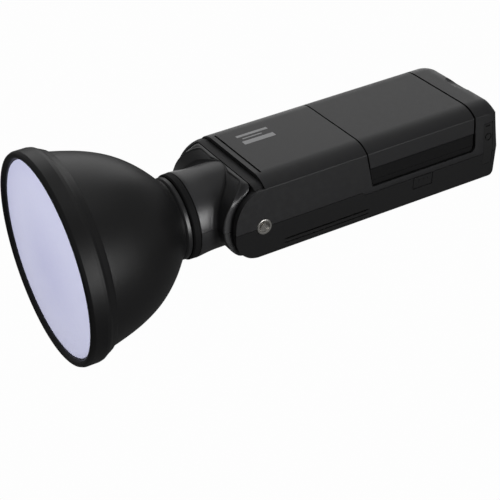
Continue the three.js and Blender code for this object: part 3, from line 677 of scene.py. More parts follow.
def finish_piece(ob, name, body, slot, replaces, materials, sharp=35, chooser=None,
                 weighted=True):
    """Turns a working solid into a named piece in metres that rides on its body.

    sharp is the angle in degrees above which an edge stays hard; chooser gives a face's
    material index from its centre in mm and its normal.
    """
    mesh = ob.data
    with editing(mesh) as bm:
        bmesh.ops.remove_doubles(bm, verts=bm.verts, dist=1e-3)
        bmesh.ops.recalc_face_normals(bm, faces=bm.faces)
        bmesh.ops.triangulate(bm, faces=[f for f in bm.faces if len(f.verts) > 8])
    mesh.transform(Matrix.Scale(MM, 4))
    mesh.materials.clear()
    for key in materials:
        mesh.materials.append(MAT[key])
    if chooser:
        for p in mesh.polygons:
            p.material_index = chooser(p.center * 1000, p.normal)
    mesh.polygons.foreach_set("use_smooth", [True] * len(mesh.polygons))
    mesh.set_sharp_from_angle(angle=math.radians(sharp))
    mesh.update()
    if weighted:
        mod = ob.modifiers.new("normals", "WEIGHTED_NORMAL")
        mod.keep_sharp, mod.weight, mod.mode = True, 80, "FACE_AREA"
        swap_mesh(ob, evaluated_mesh(ob))
    WORKING.objects.unlink(ob)
    SCENE.collection.objects.link(ob)
    ob.name = name
    ob.data.name = name
    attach(ob, body)
    if replaces:
        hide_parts(*replaces)


def skin(ob, node, body, slot, *materials, **options):
    """Finishes a solid as the skin that takes the place of one CAD node."""
    finish_piece(ob, node + "_skin", body, slot, (node,), materials, **options)


def refine(node, material, width=0.2, segments=2):
    """A CAD node redrawn with rounded edges and smooth walls."""
    mesh = frame["nodes"][node].data.copy()
    mesh.transform(Matrix.Scale(1000, 4))
    mesh.materials.clear()
    with editing(mesh) as bm:
        bmesh.ops.remove_doubles(bm, verts=bm.verts, dist=0.01)
        bmesh.ops.dissolve_limit(
            bm, angle_limit=math.radians(0.6), verts=bm.verts, edges=bm.edges)
        bmesh.ops.recalc_face_normals(bm, faces=bm.faces)
    if "custom_normal" in mesh.attributes:
        mesh.attributes.remove(mesh.attributes["custom_normal"])
    ob = work_object(mesh)
    bevel(ob, width, segments)
    skin(ob, node, body_of(node), SLOT_OF.get(node), material)


# ------------------------------------------------------------------ body outline


def crown(start, inset):
    """The right half of a section above its start point: the crease, then the shoulder."""
    shoulder = arc(FLAT_X, TOP_Z - SHOULDER_R, SHOULDER_R - inset, SHOULDER_START, 90, 14)
    crease = fillet(
        [(*start, 0), (HALF_X - inset, CREASE_Z - inset * 0.35, 1.1), (*shoulder[1], 0)],
        4, closed=False,
    )
    return crease[1:-1] + shoulder[1:]


def section(inset):
    """The body seen along Y, as (x, z)."""
    side = (HALF_X - inset, PARTING_Z)
    foot = fillet(
        [(0, inset, 0), (BASE_X - 1.2 - inset, inset, 2.0),
         (BASE_X + 0.05 - inset, 2.4 + inset * 0.6, 2.0), (*side, 0)],
        4, closed=False,
    )
    return mirror_x(foot[1:-1] + [side] + crown(side, inset))


# front edge of the body seen from the side, (y, z) from top to bottom
NOSE = spline(
    [(-77.2, 44.9), (-80, 44.3), (-83, 43.1), (-85.8, 41.3), (-88.3, 38.9), (-90.4, 36),
     (-92.1, 32.7), (-93.4, 29), (-94.2, 25), (-94.5, 21), (-94.4, 16.8), (-93.6, 12.7),
     (-91.9, 8.8), (-89.2, 5.5), (-85.6, 2.8), (-81, 0.9), (-76, 0)],
    64,
)
# the whole body seen from the side, (y, z)
SIDE = (
    [(TOP_EDGE_Y, TOP_Z + 1), (TOP_EDGE_Y, CREASE_Z)] + NOSE
    + arc(REAR_Y - 4, 4, 4, -90, 0, 7)
    + [(REAR_Y - REAR_RUN + REAR_RUN * math.cos(math.radians(a)),
        TOP_Z - REAR_DROP + REAR_DROP * math.sin(math.radians(a))) for a in range(0, 91, 6)]
    + [(REAR_Y - REAR_RUN, TOP_Z + 1)]
)


def rear_cap():
    """The section drawn in over the last millimetres, so that every rear edge is round."""
    short_run = 3.6  # length over which the whole section shrinks
    inset_max, drop_max = 2.2, 4.2
    rise_z, rise = 37, 13  # the drop grows from here over this height
    rows = [-99.0, REAR_Y - REAR_RUN] + [
        REAR_Y - REAR_RUN + REAR_RUN * math.sin(math.radians(a))
        for a in (12, 24, 36, 46, 55, 63, 70, 76, 81, 85, 88, 90)
    ]
    verts = []
    for y in rows:
        along = max(0.0, (y - REAR_Y + REAR_RUN) / REAR_RUN)
        last = max(0.0, (y - REAR_Y + short_run) / short_run)
        inset = inset_max * (1 - math.sqrt(max(0.0, 1 - last * last)))
        drop = drop_max * (1 - math.sqrt(max(0.0, 1 - along * along)))
        ring = section(inset)
        for x, z in ring:
            k = min(1.0, max(0.0, (z + inset - rise_z) / rise))
            fall = max(0.0, drop - inset) * k * k * (3 - 2 * k)
            verts.append((x * (1 - 0.03 * k * drop), y, z - fall))
    return solid(verts, loft_faces(len(rows), len(ring)))


def outer():
    return meet(rear_cap(), along_x(SIDE, -HALF_X - 1, HALF_X + 1))


def head_slot():
    """Cutters for the room between the ears."""
    sweep = both_sides(
        [(0, EAR_IN_X), (23.6, EAR_IN_X), (24.6, 34.5), (25.4, 33.3), (SLOT_R, 31)])
    return [
        wide_box(EAR_IN_X, -110, HINGE_Y, EAR_LOW_Z, TOP_Z + 5),
        wide_box(EAR_LOW_X, -110, HINGE_Y, SLOT_FLOOR_Z, EAR_LOW_Z + 1),
        wide_box(EAR_LOW_X, -110, -80.6, -5, 4),
        meet(lathe_x(sweep, HINGE_Y, HINGE_Z, 160),
             wide_box(40, HINGE_Y - 1, -40, EAR_LOW_Z, 60)),
        meet(hinge_rod(DRUM_R + 0.8, EAR_LOW_X, 100),
             wide_box(40, HINGE_Y - 1, -40, SLOT_FLOOR_Z, 30)),
    ]


def cavity(y0, y1, z0, z1):
    """Hollow inside the wall between two stations and two heights."""
    return meet(along_y(section(WALL), y0, y1), wide_box(HALF_X, y0, y1, z0, z1))


def shared_cutters():
    """Hollows and openings that run through both shells."""
    (_, y0, z0), (_, y1, z1) = DOOR_LO, DOOR_HI
    z0, z1 = z0 - DOOR_GAP, z1 + DOOR_GAP
    return [
        cavity(-62, PANEL_Y, WALL, DECK_TOP_Z - 1.6),
        cavity(REAR_SEAM_Y + 0.6 + WALL, PANEL_Y, WALL, TOP_Z - 4),
        # rear panel recess
        along_y(rounded(-32.5, 32.5, 5.5, 45, 3), PANEL_Y, REAR_Y + 2),
        # pivot holes
        hinge_rod(PIVOT_R + 0.1, 45, 64),
        # port cover recess and the deeper pocket behind it
        box(HALF_X - DOOR_DEPTH - 0.3, HALF_X + 3, y0 - 0.1, y1 + DOOR_GAP, z0, z1),
        box(HALF_X - 6.5, HALF_X + 3, y0 + 0.6, y1 - 0.4, z0 + 2, z1 - 1.5),
    ]


# seam between the shells, (y, z)
PARTING = [(-100, PARTING_Z), (STEP_Y, PARTING_Z), (STEP_Y + 1.6, DECK_LOW_Z),
           (REAR_Y + 3, DECK_LOW_Z)]


def upper_shell():
    above = along_x(PARTING + [(REAR_Y + 3, 60), (-100, 60)], -HALF_X - 2, HALF_X + 2)
    bay = along_x(
        fillet([(MID_Y, TOP_Z + 2, 0), (MID_Y, CREASE_Z, 0), (MID_Y + MID_SLANT, DECK_TOP_Z, 0),
                (REAR_SEAM_Y, DECK_TOP_Z, 3.4), (REAR_SEAM_Y, TOP_Z + 2, 0)], 6),
        -HALF_X - 2, HALF_X + 2,
    )
    # scoop in the rear top edge, shallower towards its ends
    scoop_y, scoop_z, scoop_r, scoop_half = 88, 62.3, 16, 13
    scoop = [
        (scoop_r - 2.9 * max(0, (abs(x) - 3) / 10) ** 2, x)
        for x in range(-scoop_half, scoop_half + 1)
    ]
    groove_y, groove_half = -71.0, 0.6
    shell = meet(cut(outer(), bay), above)
    shell = cut(
        shell, *head_slot(), cavity(-50, MID_Y - WALL, -1, TOP_Z - WALL), *shared_cutters(),
        lathe_x([(0, -scoop_half)] + scoop + [(0, scoop_half)], scoop_y, scoop_z, 240),
        # groove across the top near the front
        along_z(rounded(-27, 27, groove_y - groove_half, groove_y + groove_half, 0.58, 5),
                TOP_Z - 0.9, TOP_Z + 2),
        # opening at the rear of the deck
        wide_box(12, 59.6, 66.4, DECK_TOP_Z - 3, DECK_TOP_Z + 1),
        # small nick in the rear top edge
        box(23.8, 24.4, REAR_Y - 1.3, REAR_Y + 1, TOP_Z - 3.4, TOP_Z + 1),
    )
    bevel(shell, 0.36, 3)

    def bay_wall_shade(centre, normal):
        # the wall behind the battery takes the black of the neck: painted shade from the gap
        at_wall = abs(centre.y - REAR_SEAM_Y) < 0.3 and normal.y < -0.9
        return 1 if at_wall and centre.z > DECK_TOP_Z + 3 else 0

    skin(shell, "upper_shell", "body", "shell", "shell", "neck_black", chooser=bay_wall_shade)


def side_grooves():
    """Two long grooves, pointed at both ends, low on each side."""
    y0, y1, half, point = -63.6, -5.4, 0.55, 2.6
    grooves = []
    for z in (7.8, 5.1):
        outline = [(y0, z), (y0 + point, z - half), (y1 - point, z - half),
                   (y1, z), (y1 - point, z + half), (y0 + point, z + half)]
        grooves += [along_x(outline, HALF_X - 3.5, HALF_X + 2),
                    along_x(outline, -HALF_X - 2, -HALF_X + 3.5)]
    return grooves


def lower_shell():
    below = along_x(
        [(y, z - PARTING_GAP) for y, z in PARTING][::-1] + [(-100, -5), (REAR_Y + 3, -5)],
        -HALF_X - 2, HALF_X + 2,
    )
    shell = meet(outer(), below)
    lo, hi = box_mm("battery_release_right")
    release_holes = [
        box(x0, x1, lo[1] - 0.3, hi[1] + 0.3, lo[2] - 0.3, hi[2] + 0.3)
        for x0, x1 in ((HALF_X - 4, HALF_X + 3), (-HALF_X - 3, -HALF_X + 4))
    ]
    socket_y, socket_half = -10.0, 15.3
    shell = cut(
        shell, *head_slot(), *shared_cutters(), cavity(-50, MID_Y, WALL, PARTING_Z + 1),
        *release_holes, *side_grooves(),
        # stand socket: square recess and round hole in the underside
        along_z(rounded(-socket_half, socket_half, socket_y - socket_half,
                        socket_y + socket_half, 3.2), -1, 1.2),
        rod(6.8, -1, 4, "z", (0, socket_y), 64),
    )
    # counterbored screw bosses
    for place in ((-27, -50), (27, -50), (-27, 61), (27, 61)):
        shell = cut(
            join(shell, rod(4, 0.4, 8, "z", place, 40)),
            rod(2.9, -1, 2.4, "z", place, 40), rod(1.6, 2, 12, "z", place, 24),
        )
    # long shallow lines on the underside
    for x in (-21, 21):
        shell = cut(shell, box(x - 0.4, x + 0.4, 12, 54, -1, 0.5))
    bevel(shell, 0.22)
    # the lower shell takes the darker copy of the shell plastic: painted shade on the sides that
    # face down
    skin(shell, "lower_shell", "body", "shell_dark", "shell_dark")


# ------------------------------------------------------------------ battery


def pack_section(inset):
    """The battery seen along Y, (x, z), with its lower sides drawn in."""
    foot = fillet(
        [(0, PACK_LOW_Z + inset, 0), (GRIP_X - 0.2 - inset, PACK_LOW_Z + inset, 0.35),
         (GRIP_X + 0.2 - inset, GRIP_Z - 0.6, 0.2), (HALF_X - 0.12 - inset, GRIP_Z + 0.3, 0.2),
         (HALF_X - inset, CREASE_Z - 1, 0)],
        4, closed=False,
    )[1:-1]
    return mirror_x(foot + crown(foot[-1], inset))


def pack_side(inset):
    """The battery seen from the side, (y, z)."""
    front, rear = MID_Y + BAY_GAP + inset, REAR_SEAM_Y - 1.2 - inset
    low = PACK_LOW_Z + inset
    return fillet(
        [(front, TOP_Z + 2, 0), (front, CREASE_Z, 1.5),
         (MID_Y + MID_SLANT + BAY_GAP + inset, low, 0.5), (rear, low, 3.0),
         (rear, TOP_Z + 2, 0)], 6)


def pack(inset):
    return meet(along_y(pack_section(inset), MID_Y + inset, REAR_SEAM_Y - inset),
                along_x(pack_side(inset), -HALF_X - 1, HALF_X + 1))


def battery():
    wall = 1.8
    split_z, split_gap = 27, 0.15
    cover = cut(pack(0), pack(wall), wide_box(50, -50, 100, 0, split_z))
    bevel(cover, 0.22)

    def battery_shade_zone(centre, normal):
        # the front wall takes the black of the neck: painted shade from the gap
        if normal.y < -0.9 and centre.y < MID_Y + MID_SLANT + 2:
            return 2  # the front wall, in the shade of the gap
        # the drawn-in lower sides take the much darker plastic: painted shade on the sides that
        # face down
        return 1 if centre.z < GRIP_Z - 0.1 and abs(normal.x) > 0.3 else 0

    skin(cover, "battery_cover", "battery", "battery_shell",
         "battery_shell", "battery_grip", "neck_black", chooser=battery_shade_zone)
    tray = cut(pack(0), pack(wall), wide_box(10.4, 59, 65.6, 20, 30))
    tray = meet(tray, wide_box(50, -50, 100, 0, split_z - split_gap))
    bevel(tray, 0.2)
    skin(tray, "battery_tray", "battery", "shell_dark", "battery_grip")


# ------------------------------------------------------------------ head outline
FACE_Y, FACE_Z, FACE_R = -73.8, 22.0, 26.0  # centre and radius of the rounded face
FACE_HALF_X = 32.8
FACE_TOP_Z = 47.2
HEAD_TOP_Z, HEAD_LOW_Z = 47.15, -0.8
NECK_R = 24.4
RIM = 1.0  # rounding of the head's outer edge
NECK_FILLET = 3.4  # between neck and face
BORE_R = 22.0

# face below FACE_Z, (z, y)
CHIN = [(-0.9, -82.0), (-0.8, -82.2), (0.6, -85.5), (3.6, -89.8), (7.4, -93.6), (12, -97),
        (17, -99.1), (22, -99.8)]
# rear edge of the head, (z, y)
HEAD_REAR = [(0, -82.2), (3.4, -86), (7.4, -89.6), (11.6, -91.8), (16, -92.8), (22, -93.1),
             (28, -92.6), (32.4, -91.2), (36.2, -89.2), (39.6, -86.4), (42.8, -83.2),
             (46, -80.6), (47.2, -80.6)]
# neck stations, (y, radius)
NECK = [(-110.0, 25.5), (-109.7, 25.5), (-106.9, 25.3), (-101.8, 24.7), (-96.8, 24.4),
        (-84.0, 24.4)]


def smooth_table(points):
    """Dense (z values, y values) along a smooth line, sorted by z."""
    line = np.array(spline(points, 200))
    order = np.argsort(line[:, 0])
    return line[order, 0], line[order, 1]


CHIN_LINE = smooth_table(CHIN)
REAR_LINE = smooth_table(HEAD_REAR)


def y_face(z):
    if z >= FACE_Z:
        return FACE_Y - math.sqrt(max(0.0, FACE_R**2 - (z - FACE_Z) ** 2))
    return float(np.interp(z, *CHIN_LINE))


def y_rear(z):
    return float(np.interp(z, *REAR_LINE))


# ------------------------------------------------------------------ barrel


def sector(start, end, radius):
    """A pie slice about the hinge, (y, z)."""
    return [(HINGE_Y, HINGE_Z)] + arc(HINGE_Y, HINGE_Z, radius, start, end, 40)


def cheek_outline():
    """The nose line drawn in towards a centre, then closed behind, (y, z)."""
    centre_y, centre_z, draw_in = -72.1, 23.7, 0.45
    outline = []
    for y, z in spline(NOSE[:46:3], 44):
        dy, dz = y - centre_y, z - centre_z
        dist = math.hypot(dy, dz)
        outline.append((centre_y + dy * (dist - draw_in) / dist,
                        centre_z + dz * (dist - draw_in) / dist))
    return outline + [(HINGE_Y, 12), (-70, 20), (-66.8, 41.6)]


def barrel():
    half = 35.1
    cheek_in, cheek_out = 33.1, 35.25
    cheek = cheek_outline()
    hood_edge = [(0, half), (23.1, half), (24.1, 34.3), (24.9, 33.2), (25.35, 31.6),
                 (HOOD_R, 29.5)]
    hood = meet(lathe_x(both_sides(hood_edge), HINGE_Y, HINGE_Z, 180),
                along_x(sector(50, 98.2, 30), -36, 36))
    # block that follows the head's rear edge, with a gap wider at its bottom and top
    fill = [
        (y_rear(z) + 0.45 + float(np.interp(z, [10, 14, 26, 34], [0.9, 0, 0, 1.85])), z)
        for z in np.linspace(10, 46.4, 30)
    ] + [(HINGE_Y, 46.4), (HINGE_Y, 14)]
    drum = join(
        along_x(fill, -33.3, 33.3), hinge_rod(DRUM_R, 28.8, 96), hinge_rod(12.4, half, 80),
        hood, along_x(cheek, cheek_in, cheek_out), along_x(cheek, -cheek_out, -cheek_in),
    )
    drum = cut(
        drum, hinge_rod(15.6, 26.8, 72), hinge_rod(6.75, 45, 64),
        # openings behind and in front of the hinge
        wide_box(12, -75, -40, 12, 34), wide_box(14, -110, -85, 12, 32),
        # hollow under the hood
        meet(along_x(sector(50, 96.2, HOOD_R - 1.8), -30.8, 30.8),
             wide_box(31, -90, -40, 30, 60)),
    )
    bevel(drum, 0.3)
    skin(drum, "tilt_barrel", "barrel", "barrel_black", "barrel_black")


# ------------------------------------------------------------------ head


def front_view(top_radius):
    """The head's outline seen from the front, (x, z)."""
    return [Vector(p) for p in fillet(
        [(FACE_HALF_X, HEAD_LOW_Z, 12), (FACE_HALF_X, HEAD_TOP_Z, top_radius),
         (-FACE_HALF_X, HEAD_TOP_Z, top_radius), (-FACE_HALF_X, HEAD_LOW_Z, 12)], 24)]


REAR_VIEW = front_view(5.2)
FACE_VIEW = front_view(10.5)


def outline_radius(phi, outline):
    """Distance from the lamp axis to an outline seen from the front."""
    ray = Vector((math.cos(phi), math.sin(phi)))
    axis = Vector((0, AXIS_Z))
    best = 0.0
    n = len(outline)
    for i in range(n):
        a, b = outline[i] - axis, outline[(i + 1) % n] - axis
        edge = b - a
        det = ray.x * edge.y - ray.y * edge.x
        if abs(det) < 1e-12:
            continue
        dist = (a.x * edge.y - a.y * edge.x) / det
        along = (a.x * ray.y - a.y * ray.x) / det
        if dist > 0 and -1e-6 <= along <= 1 + 1e-6:
            best = max(best, dist)
    return best


def head_profile(phi):
    """(radius, y) stations at one angle about the lamp axis.

    They run from the neck's front lip over the face and rim, and back through the inside.
    """
    sine = math.sin(phi)
    face_r = max(outline_radius(phi, FACE_VIEW), NECK_R + 0.12)
    rear_r = max(outline_radius(phi, REAR_VIEW), face_r)
    span = face_r - NECK_R
    rim = min(RIM, span * 0.42)
    blend = min(NECK_FILLET, span * 0.42)

    def z_at(r):
        return AXIS_Z + r * sine

    def face(r):
        return y_face(min(FACE_TOP_Z, max(HEAD_LOW_Z, z_at(r))))

    # neck
    out = [(23.45, -109.7), (25.1, -109.7), (25.4, -109.55), (25.5, -109.15)]
    neck_y = min(face(NECK_R + blend) - blend, y_rear(z_at(NECK_R)) - 0.8)
    for k in range(1, 15):
        y = -109.0 + (neck_y + 109.0) * k / 14
        out.append((float(np.interp(y, *zip(*NECK))), y))
    # blend from neck to face
    neck_end_r, blend_r = out[-1][0], NECK_R + blend
    blend_y = min(face(blend_r), y_rear(z_at(blend_r)) - 0.6)
    for k in range(1, 8):
        a = math.pi / 2 * k / 7
        out.append((blend_r - (blend_r - neck_end_r) * math.cos(a),
                    blend_y - (blend_y - neck_y) * (1 - math.sin(a))))
    # face
    rim_r = face_r - rim
    for k in range(1, 13):
        r = blend_r + (rim_r - blend_r) * k / 12
        out.append((r, min(face(r), y_rear(z_at(r)) - 0.4)))
    # rounded rim
    rim_y = out[-1][1]
    rear_y = y_rear(min(HEAD_TOP_Z, z_at(rear_r)))
    rim_depth = min(rim * 1.15, max(0.2, rear_y - rim_y) * 0.72)
    for k in range(1, 9):
        a = math.pi / 2 * k / 8
        out.append((rim_r + (face_r - rim_r) * math.sin(a),
                    rim_y + rim_depth * (1 - math.cos(a))))
    # side wall, widening from the face view to the rear view
    side_y = out[-1][1]
    for k in range(1, 6):
        part = k / 5
        out.append((face_r + (rear_r - face_r) * math.sin(part * math.pi / 2),
                    side_y + (rear_y - 0.3 - side_y) * part))
    # rear edge and inside
    inner_r = max(BORE_R, face_r - 2.3)
    inner_y = min(rim_y + 2.2, rear_y - 0.1)
    step_y = min(inner_y, neck_y + 3.5) if inner_r > BORE_R + 0.3 else inner_y - 0.2
    return out + [
        (rear_r - 0.1, rear_y - 0.08), (rear_r - 0.35, rear_y), (inner_r, rear_y),
        (inner_r, inner_y + (rear_y - inner_y) * 0.5), (inner_r, inner_y),
        ((inner_r + BORE_R) / 2, step_y), (BORE_R, min(inner_y, neck_y + 3.0) - 0.4),
        (BORE_R, -104.0), (BORE_R, -109.0), (23.45, -109.0),
    ]


def head():
    """Two half shells that part at the height of the lamp axis."""
    n, half_gap = 192, 0.13
    rows = []
    for k in range(n):
        phi = 2 * math.pi * k / n
        rows.append([(r * math.cos(phi), y, AXIS_Z + r * math.sin(phi))
                     for r, y in head_profile(phi)])
    m = len(rows[0])
    for part, first, split_z, material, slot in (
        ("head_upper", 0, AXIS_Z + half_gap, "head_shell", "shell"),
        # the lower half takes the darker copy of the head plastic: painted shade
        ("head_lower", n // 2, AXIS_Z - half_gap, "head_shell_dark", "shell_dark"),
    ):
        last = n // 2
        verts = []
        for j in range(last + 1):
            for x, y, z in rows[(first + j) % n]:
                verts.append((x, y, split_z if j in (0, last) else z))
        faces = [
            [j * m + i, (j + 1) * m + i, (j + 1) * m + (i + 1) % m, j * m + (i + 1) % m]
            for j in range(last) for i in range(m)
        ]
        faces += [list(range(m)), list(range(last * m, (last + 1) * m))[::-1]]
        finish_piece(raw_solid(verts, faces), part + "_skin", "head", slot,
                     (part + "_shell",), (material,), sharp=38, weighted=False)


# ------------------------------------------------------------------ lamp front


def neck_ring():
    rear_y = -110
    # (radius, y, corner radius)
    profile = [(21.7, rear_y + 0.7, 0), (21.7, -114.2, 0.2), (24.6, -114.2, 0.4),
               (25.3, -113.4, 0.4), (25.4, rear_y, 0.12), (23.1, rear_y, 0),
               (23.1, rear_y + 0.7, 0)]
    skin(lamp_lathe(fillet(profile, 5), 144), "neck_ring", "head", "barrel_black",
         "neck_black", sharp=50)


def reflector_collar():
    # (radius, y, corner radius)
    profile = [(21.4, -105, 0.3), (21.4, -114.45, 0.1), (23.8, -114.45, 0.3),
               (24.35, -115.1, 0.4), (24.3, -117.0, 0.8), (23.7, -118.0, 0.1),
               (19.7, -118.0, 0.1), (19.7, -121.8, 0.3), (18.4, -121.8, 0.3),
               (18.4, -116, 0.5), (20, -115.4, 0.5), (20, -105, 0.3)]
    collar = lamp_lathe(fillet(profile, 3), 144)
    # three bayonet notches
    notch_at, notch_r = 21.4, 2
    for a in (90, 210, 330):
        x, z = notch_at * math.cos(math.radians(a)), notch_at * math.sin(math.radians(a))
        cut(collar, rod(notch_r, -110, -104, "y", (x, AXIS_Z + z), 32))
    skin(collar, "reflector_collar", "reflector", "steel", "collar_black", sharp=40)


# outside of the bowl, (radius, y)
DISH = [(24.4, -119.6), (33.0, -127.2), (39.9, -134.8), (45.2, -142.4), (49.1, -150),
        (52.1, -157.6), (54.4, -165.2), (56.3, -172.8), (57.35, -177.6)]


def dish():
    outer_line = spline(DISH, 60)
    wall = 1.5
    inner = []
    for i, (r, y) in enumerate(outer_line):
        ra, ya = outer_line[max(0, i - 1)]
        rb, yb = outer_line[min(len(outer_line) - 1, i + 1)]
        step = math.hypot(rb - ra, yb - ya)
        inner.append((r + (yb - ya) / step * wall, y - (rb - ra) / step * wall))
    profile = (
        fillet([(20.0, -118.1, 0), (23.6, -118.1, 0.3), (*outer_line[0], 0)],
               4, closed=False)[:-1]
        + outer_line
        + [(57.4, -178.4), (57.4, -189.0), (57.25, -189.3), (56.0, -189.3), (55.85, -189.0),
           (55.7, -178.0)]
        + [p for p in reversed(inner) if p[1] > -177.6] + [(20.0, -120.5)]
    )
    radii, stations = zip(*reversed(outer_line))

    def inside(centre, normal):
        # the bowl's inside is bright, its outside black
        r = math.hypot(centre.x, centre.z - AXIS_Z)
        return 1 if r < np.interp(centre.y, stations, radii) - 0.5 and centre.y < -121 else 0

    skin(lamp_lathe(profile, 160), "reflector_dish", "reflector", "dish_black",
         "dish_black", "reflector_silver", sharp=40, chooser=inside)


def diffuser():
    # (radius, y, corner radius)
    ring = [(57.8, -177.4, 0.2), (58.5, -176.95, 0.3), (59.3, -178.4, 1.2),
            (60.5, -180.9, 1.6), (61.6, -182.6, 1.2), (62, -184.6, 1.2), (62, -191.6, 1.4),
            (61.3, -193.3, 1.0), (60.2, -194, 0.8), (58.9, -193.7, 0.8),
            (57.55, -191.9, 0.8), (57.5, -190.0, 0), (57.8, -190.0, 0)]
    skin(lamp_lathe(fillet(ring, 4), 160), "diffuser_ring", "diffuser", "ring_black",
         "ring_black", sharp=45)
    # (radius, y): the domed front, then the back
    disc = [(0, -192.75), (10, -192.72), (20, -192.62), (30, -192.45), (40, -192.2),
            (48, -191.9), (54, -191.6), (56.4, -191.4), (57.0, -191.2), (57.2, -190.8),
            (57.2, -190.0), (56.9, -189.8), (30, -190.2), (0, -190.4)]
    skin(lamp_lathe(disc, 160), "diffuser_disc", "diffuser", "diffuser_white",
         "diffuser_white", sharp=50)


# ------------------------------------------------------------------ small outer pieces
SIDES = (("right", 1), ("left", -1))


def x_range(lo, hi, sign):
    """Inner and outer distance of a side piece from the middle."""
    return (lo[0], hi[0]) if sign > 0 else (-hi[0], -lo[0])


def pivot_inserts():
    bore_r, thread_r, pitch = 3.2, 2.86, 0.9
    for side, sign in SIDES:
        node = f"pivot_insert_{side}"
        a, b = x_range(*box_mm(node), sign)
        profile = [(0, a), (PIVOT_R - 0.3, a), (PIVOT_R, a + 0.3), (PIVOT_R, b - 0.5)]
        profile += arc(PIVOT_R - 0.5, b - 0.5, 0.5, 0, 90, 5)[1:]
        profile += [(3.55, b), (bore_r, b - 0.35)]
        x = b - pitch
        while x > a + 2.2:
            profile += [(bore_r, x), (thread_r, x - 0.3), (thread_r, x - 0.38),
                        (bore_r, x - 0.68)]
            x -= pitch
        profile += [(3.1, a + 1.6), (0, a + 1.6)]
        ob = lathe_x([(r, sign * x) for r, x in profile], HINGE_Y, HINGE_Z)
        skin(ob, node, "body", "bright_nickel", "bright_nickel", sharp=28)


def release_buttons():
    for side, sign in SIDES:
        node = f"battery_release_{side}"
        lo, hi = box_mm(node)
        x1 = x_range(lo, hi, sign)[1]
        z0, z1 = lo[2], hi[2]
        cap = meet(along_x(rounded(lo[1], hi[1], z0, z1, 0.9, 4), 31.6, x1 + 2), outer())
        # three shallow finger lines
        for y in (28.3, 31.3, 34.3):
            cap = cut(cap, box(x1 - 0.75, x1 + 3, y - 0.3, y + 0.3, z0 + 1.8, z1 - 1.8))
        bevel(cap, 0.22)
        if sign < 0:
            cap.data.transform(Matrix.Scale(-1, 4, (1, 0, 0)))
        # the buttons take the darker copy of the shell plastic: painted shade, as on the lower
        # shell
        skin(cap, node, body_of(node), "shell_dark", "shell_dark")


def port_cover():
    (_, y0, z0), (_, y1, z1) = DOOR_LO, DOOR_HI
    cover = along_x(rounded(y0, y1, z0, z1, 0.8, 4), HALF_X - DOOR_DEPTH, HALF_X + 2)
    cover = meet(cover, outer())
    # ring groove, and a short slot below the top edge
    centre = ((y0 + y1) / 2, 30.0)
    ring = cut(rod(2.45, HALF_X - 1.0, HALF_X + 2, "x", centre),
               rod(1.75, HALF_X - 2, HALF_X + 3, "x", centre))
    slot = box(HALF_X - 1.0, HALF_X + 2, y0 + 1.5, y0 + 4.6, z1 - 2.0, z1 - 1.2)
    cover = cut(cover, ring, slot)
    bevel(cover, 0.12)
    skin(cover, "port_cover", body_of("port_cover"), "rubber", "rubber")


def lcd_segments():
    """Plain bars and blocks on the display."""
    left = -24.0
    glass_y = box_mm("lcd_window")[1][1]
    # x, z, width, height
    bars = [(left + i * 2.0, 24.6, 1.3, 1.2 + i * 0.75) for i in range(8)]
    bars += [(left + 18.6 + (i % 2) * 5.2, 24.8 + (i // 2) * 6.0, 3.8, 4.4) for i in range(4)]
    bars += [(left, 36.4, 25.8, 0.5), (left, 38.2, 6.2, 1.5)]
    ob = join(*[
        along_y(rounded(x, x + w, z, z + h, 0.22, 2), glass_y - 0.1, glass_y + 0.06)
        for x, z, w, h in bars
    ])
    finish_piece(ob, "lcd_segments", "body", "screen", (), ("segment_grey",))


def mode_dial():
    """Dial with a knurled grip and a button in its middle."""
    lo, hi = box_mm("mode_dial")
    cx, cz = (lo[0] + hi[0]) / 2, (lo[2] + hi[2]) / 2
    back, front = lo[1], hi[1]  # the dial faces +Y
    radius = (hi[0] - lo[0]) / 2
    ridges, steps = 40, 6
    grip = []
    for k in range(ridges * steps):
        a = 2 * math.pi * k / (ridges * steps)
        r = radius - 0.32 + 0.3 * math.cos(a * ridges)
        grip.append((cx + r * math.cos(a), cz + r * math.sin(a)))
    top = lathe_y(
        [(0, front - 1.2), (radius - 0.7, front - 1.2), (radius - 0.75, front - 0.5),
         (radius - 1.2, front - 0.12), (radius - 1.9, front), (0, front)], cx, cz)
    dial = cut(join(along_y(grip, back, front - 0.65), top),
               rod(5.2, back - 1, front + 2, "y", (cx, cz), 72))
    mark = rounded(cx - 0.35, cx + 0.35, cz + radius - 3.6, cz + radius - 1.4, 0.3, 3)
    dial = cut(dial, along_y(mark, front - 0.3, front + 2))
    skin(dial, "mode_dial", body_of("mode_dial"), "button_grey", "button_grey", sharp=40)

    lo, hi = box_mm("dial_button")
    r, back, front = (hi[0] - lo[0]) / 2, lo[1], hi[1]
    button = lathe_y(
        [(0, back), (r, back), (r, front - 0.5), (r - 0.15, front - 0.15), (r - 0.5, front),
         (r - 1.2, front - 0.05), (1.5, front - 0.35), (0, front - 0.38)], cx, cz, 72)
    skin(button, "dial_button", body_of("dial_button"), "button_grey", "button_grey", sharp=50)


def controls():
    refine("rear_panel", "neck_black", width=0.3)
    refine("lcd_window", "screen", width=0.25)
    lcd_segments()
    mode_dial()
    for i in range(1, 5):
        refine(f"button_{i}", "button_grey", width=0.45, segments=3)
    refine("test_button", "button_red", width=0.4, segments=3)
    refine("power_switch", "button_grey", width=0.25)


def top_mark():
    """Three plain painted bars on the top, with no letters."""
    # x0, x1, y0, y1
    bars = ((-18.6, -16.2, -62, -41.5), (-14.0, -13.0, -60, -47), (-10.6, -6.4, -62, -41.5))
    ob = join(*[along_z(rounded(*bar, 0.45, 4), TOP_Z - 0.15, TOP_Z + 0.03) for bar in bars])
    finish_piece(ob, "top_paint_bars", "body", "shell", (), ("paint_white",))


# ------------------------------------------------------------------ flash tube and inner pieces


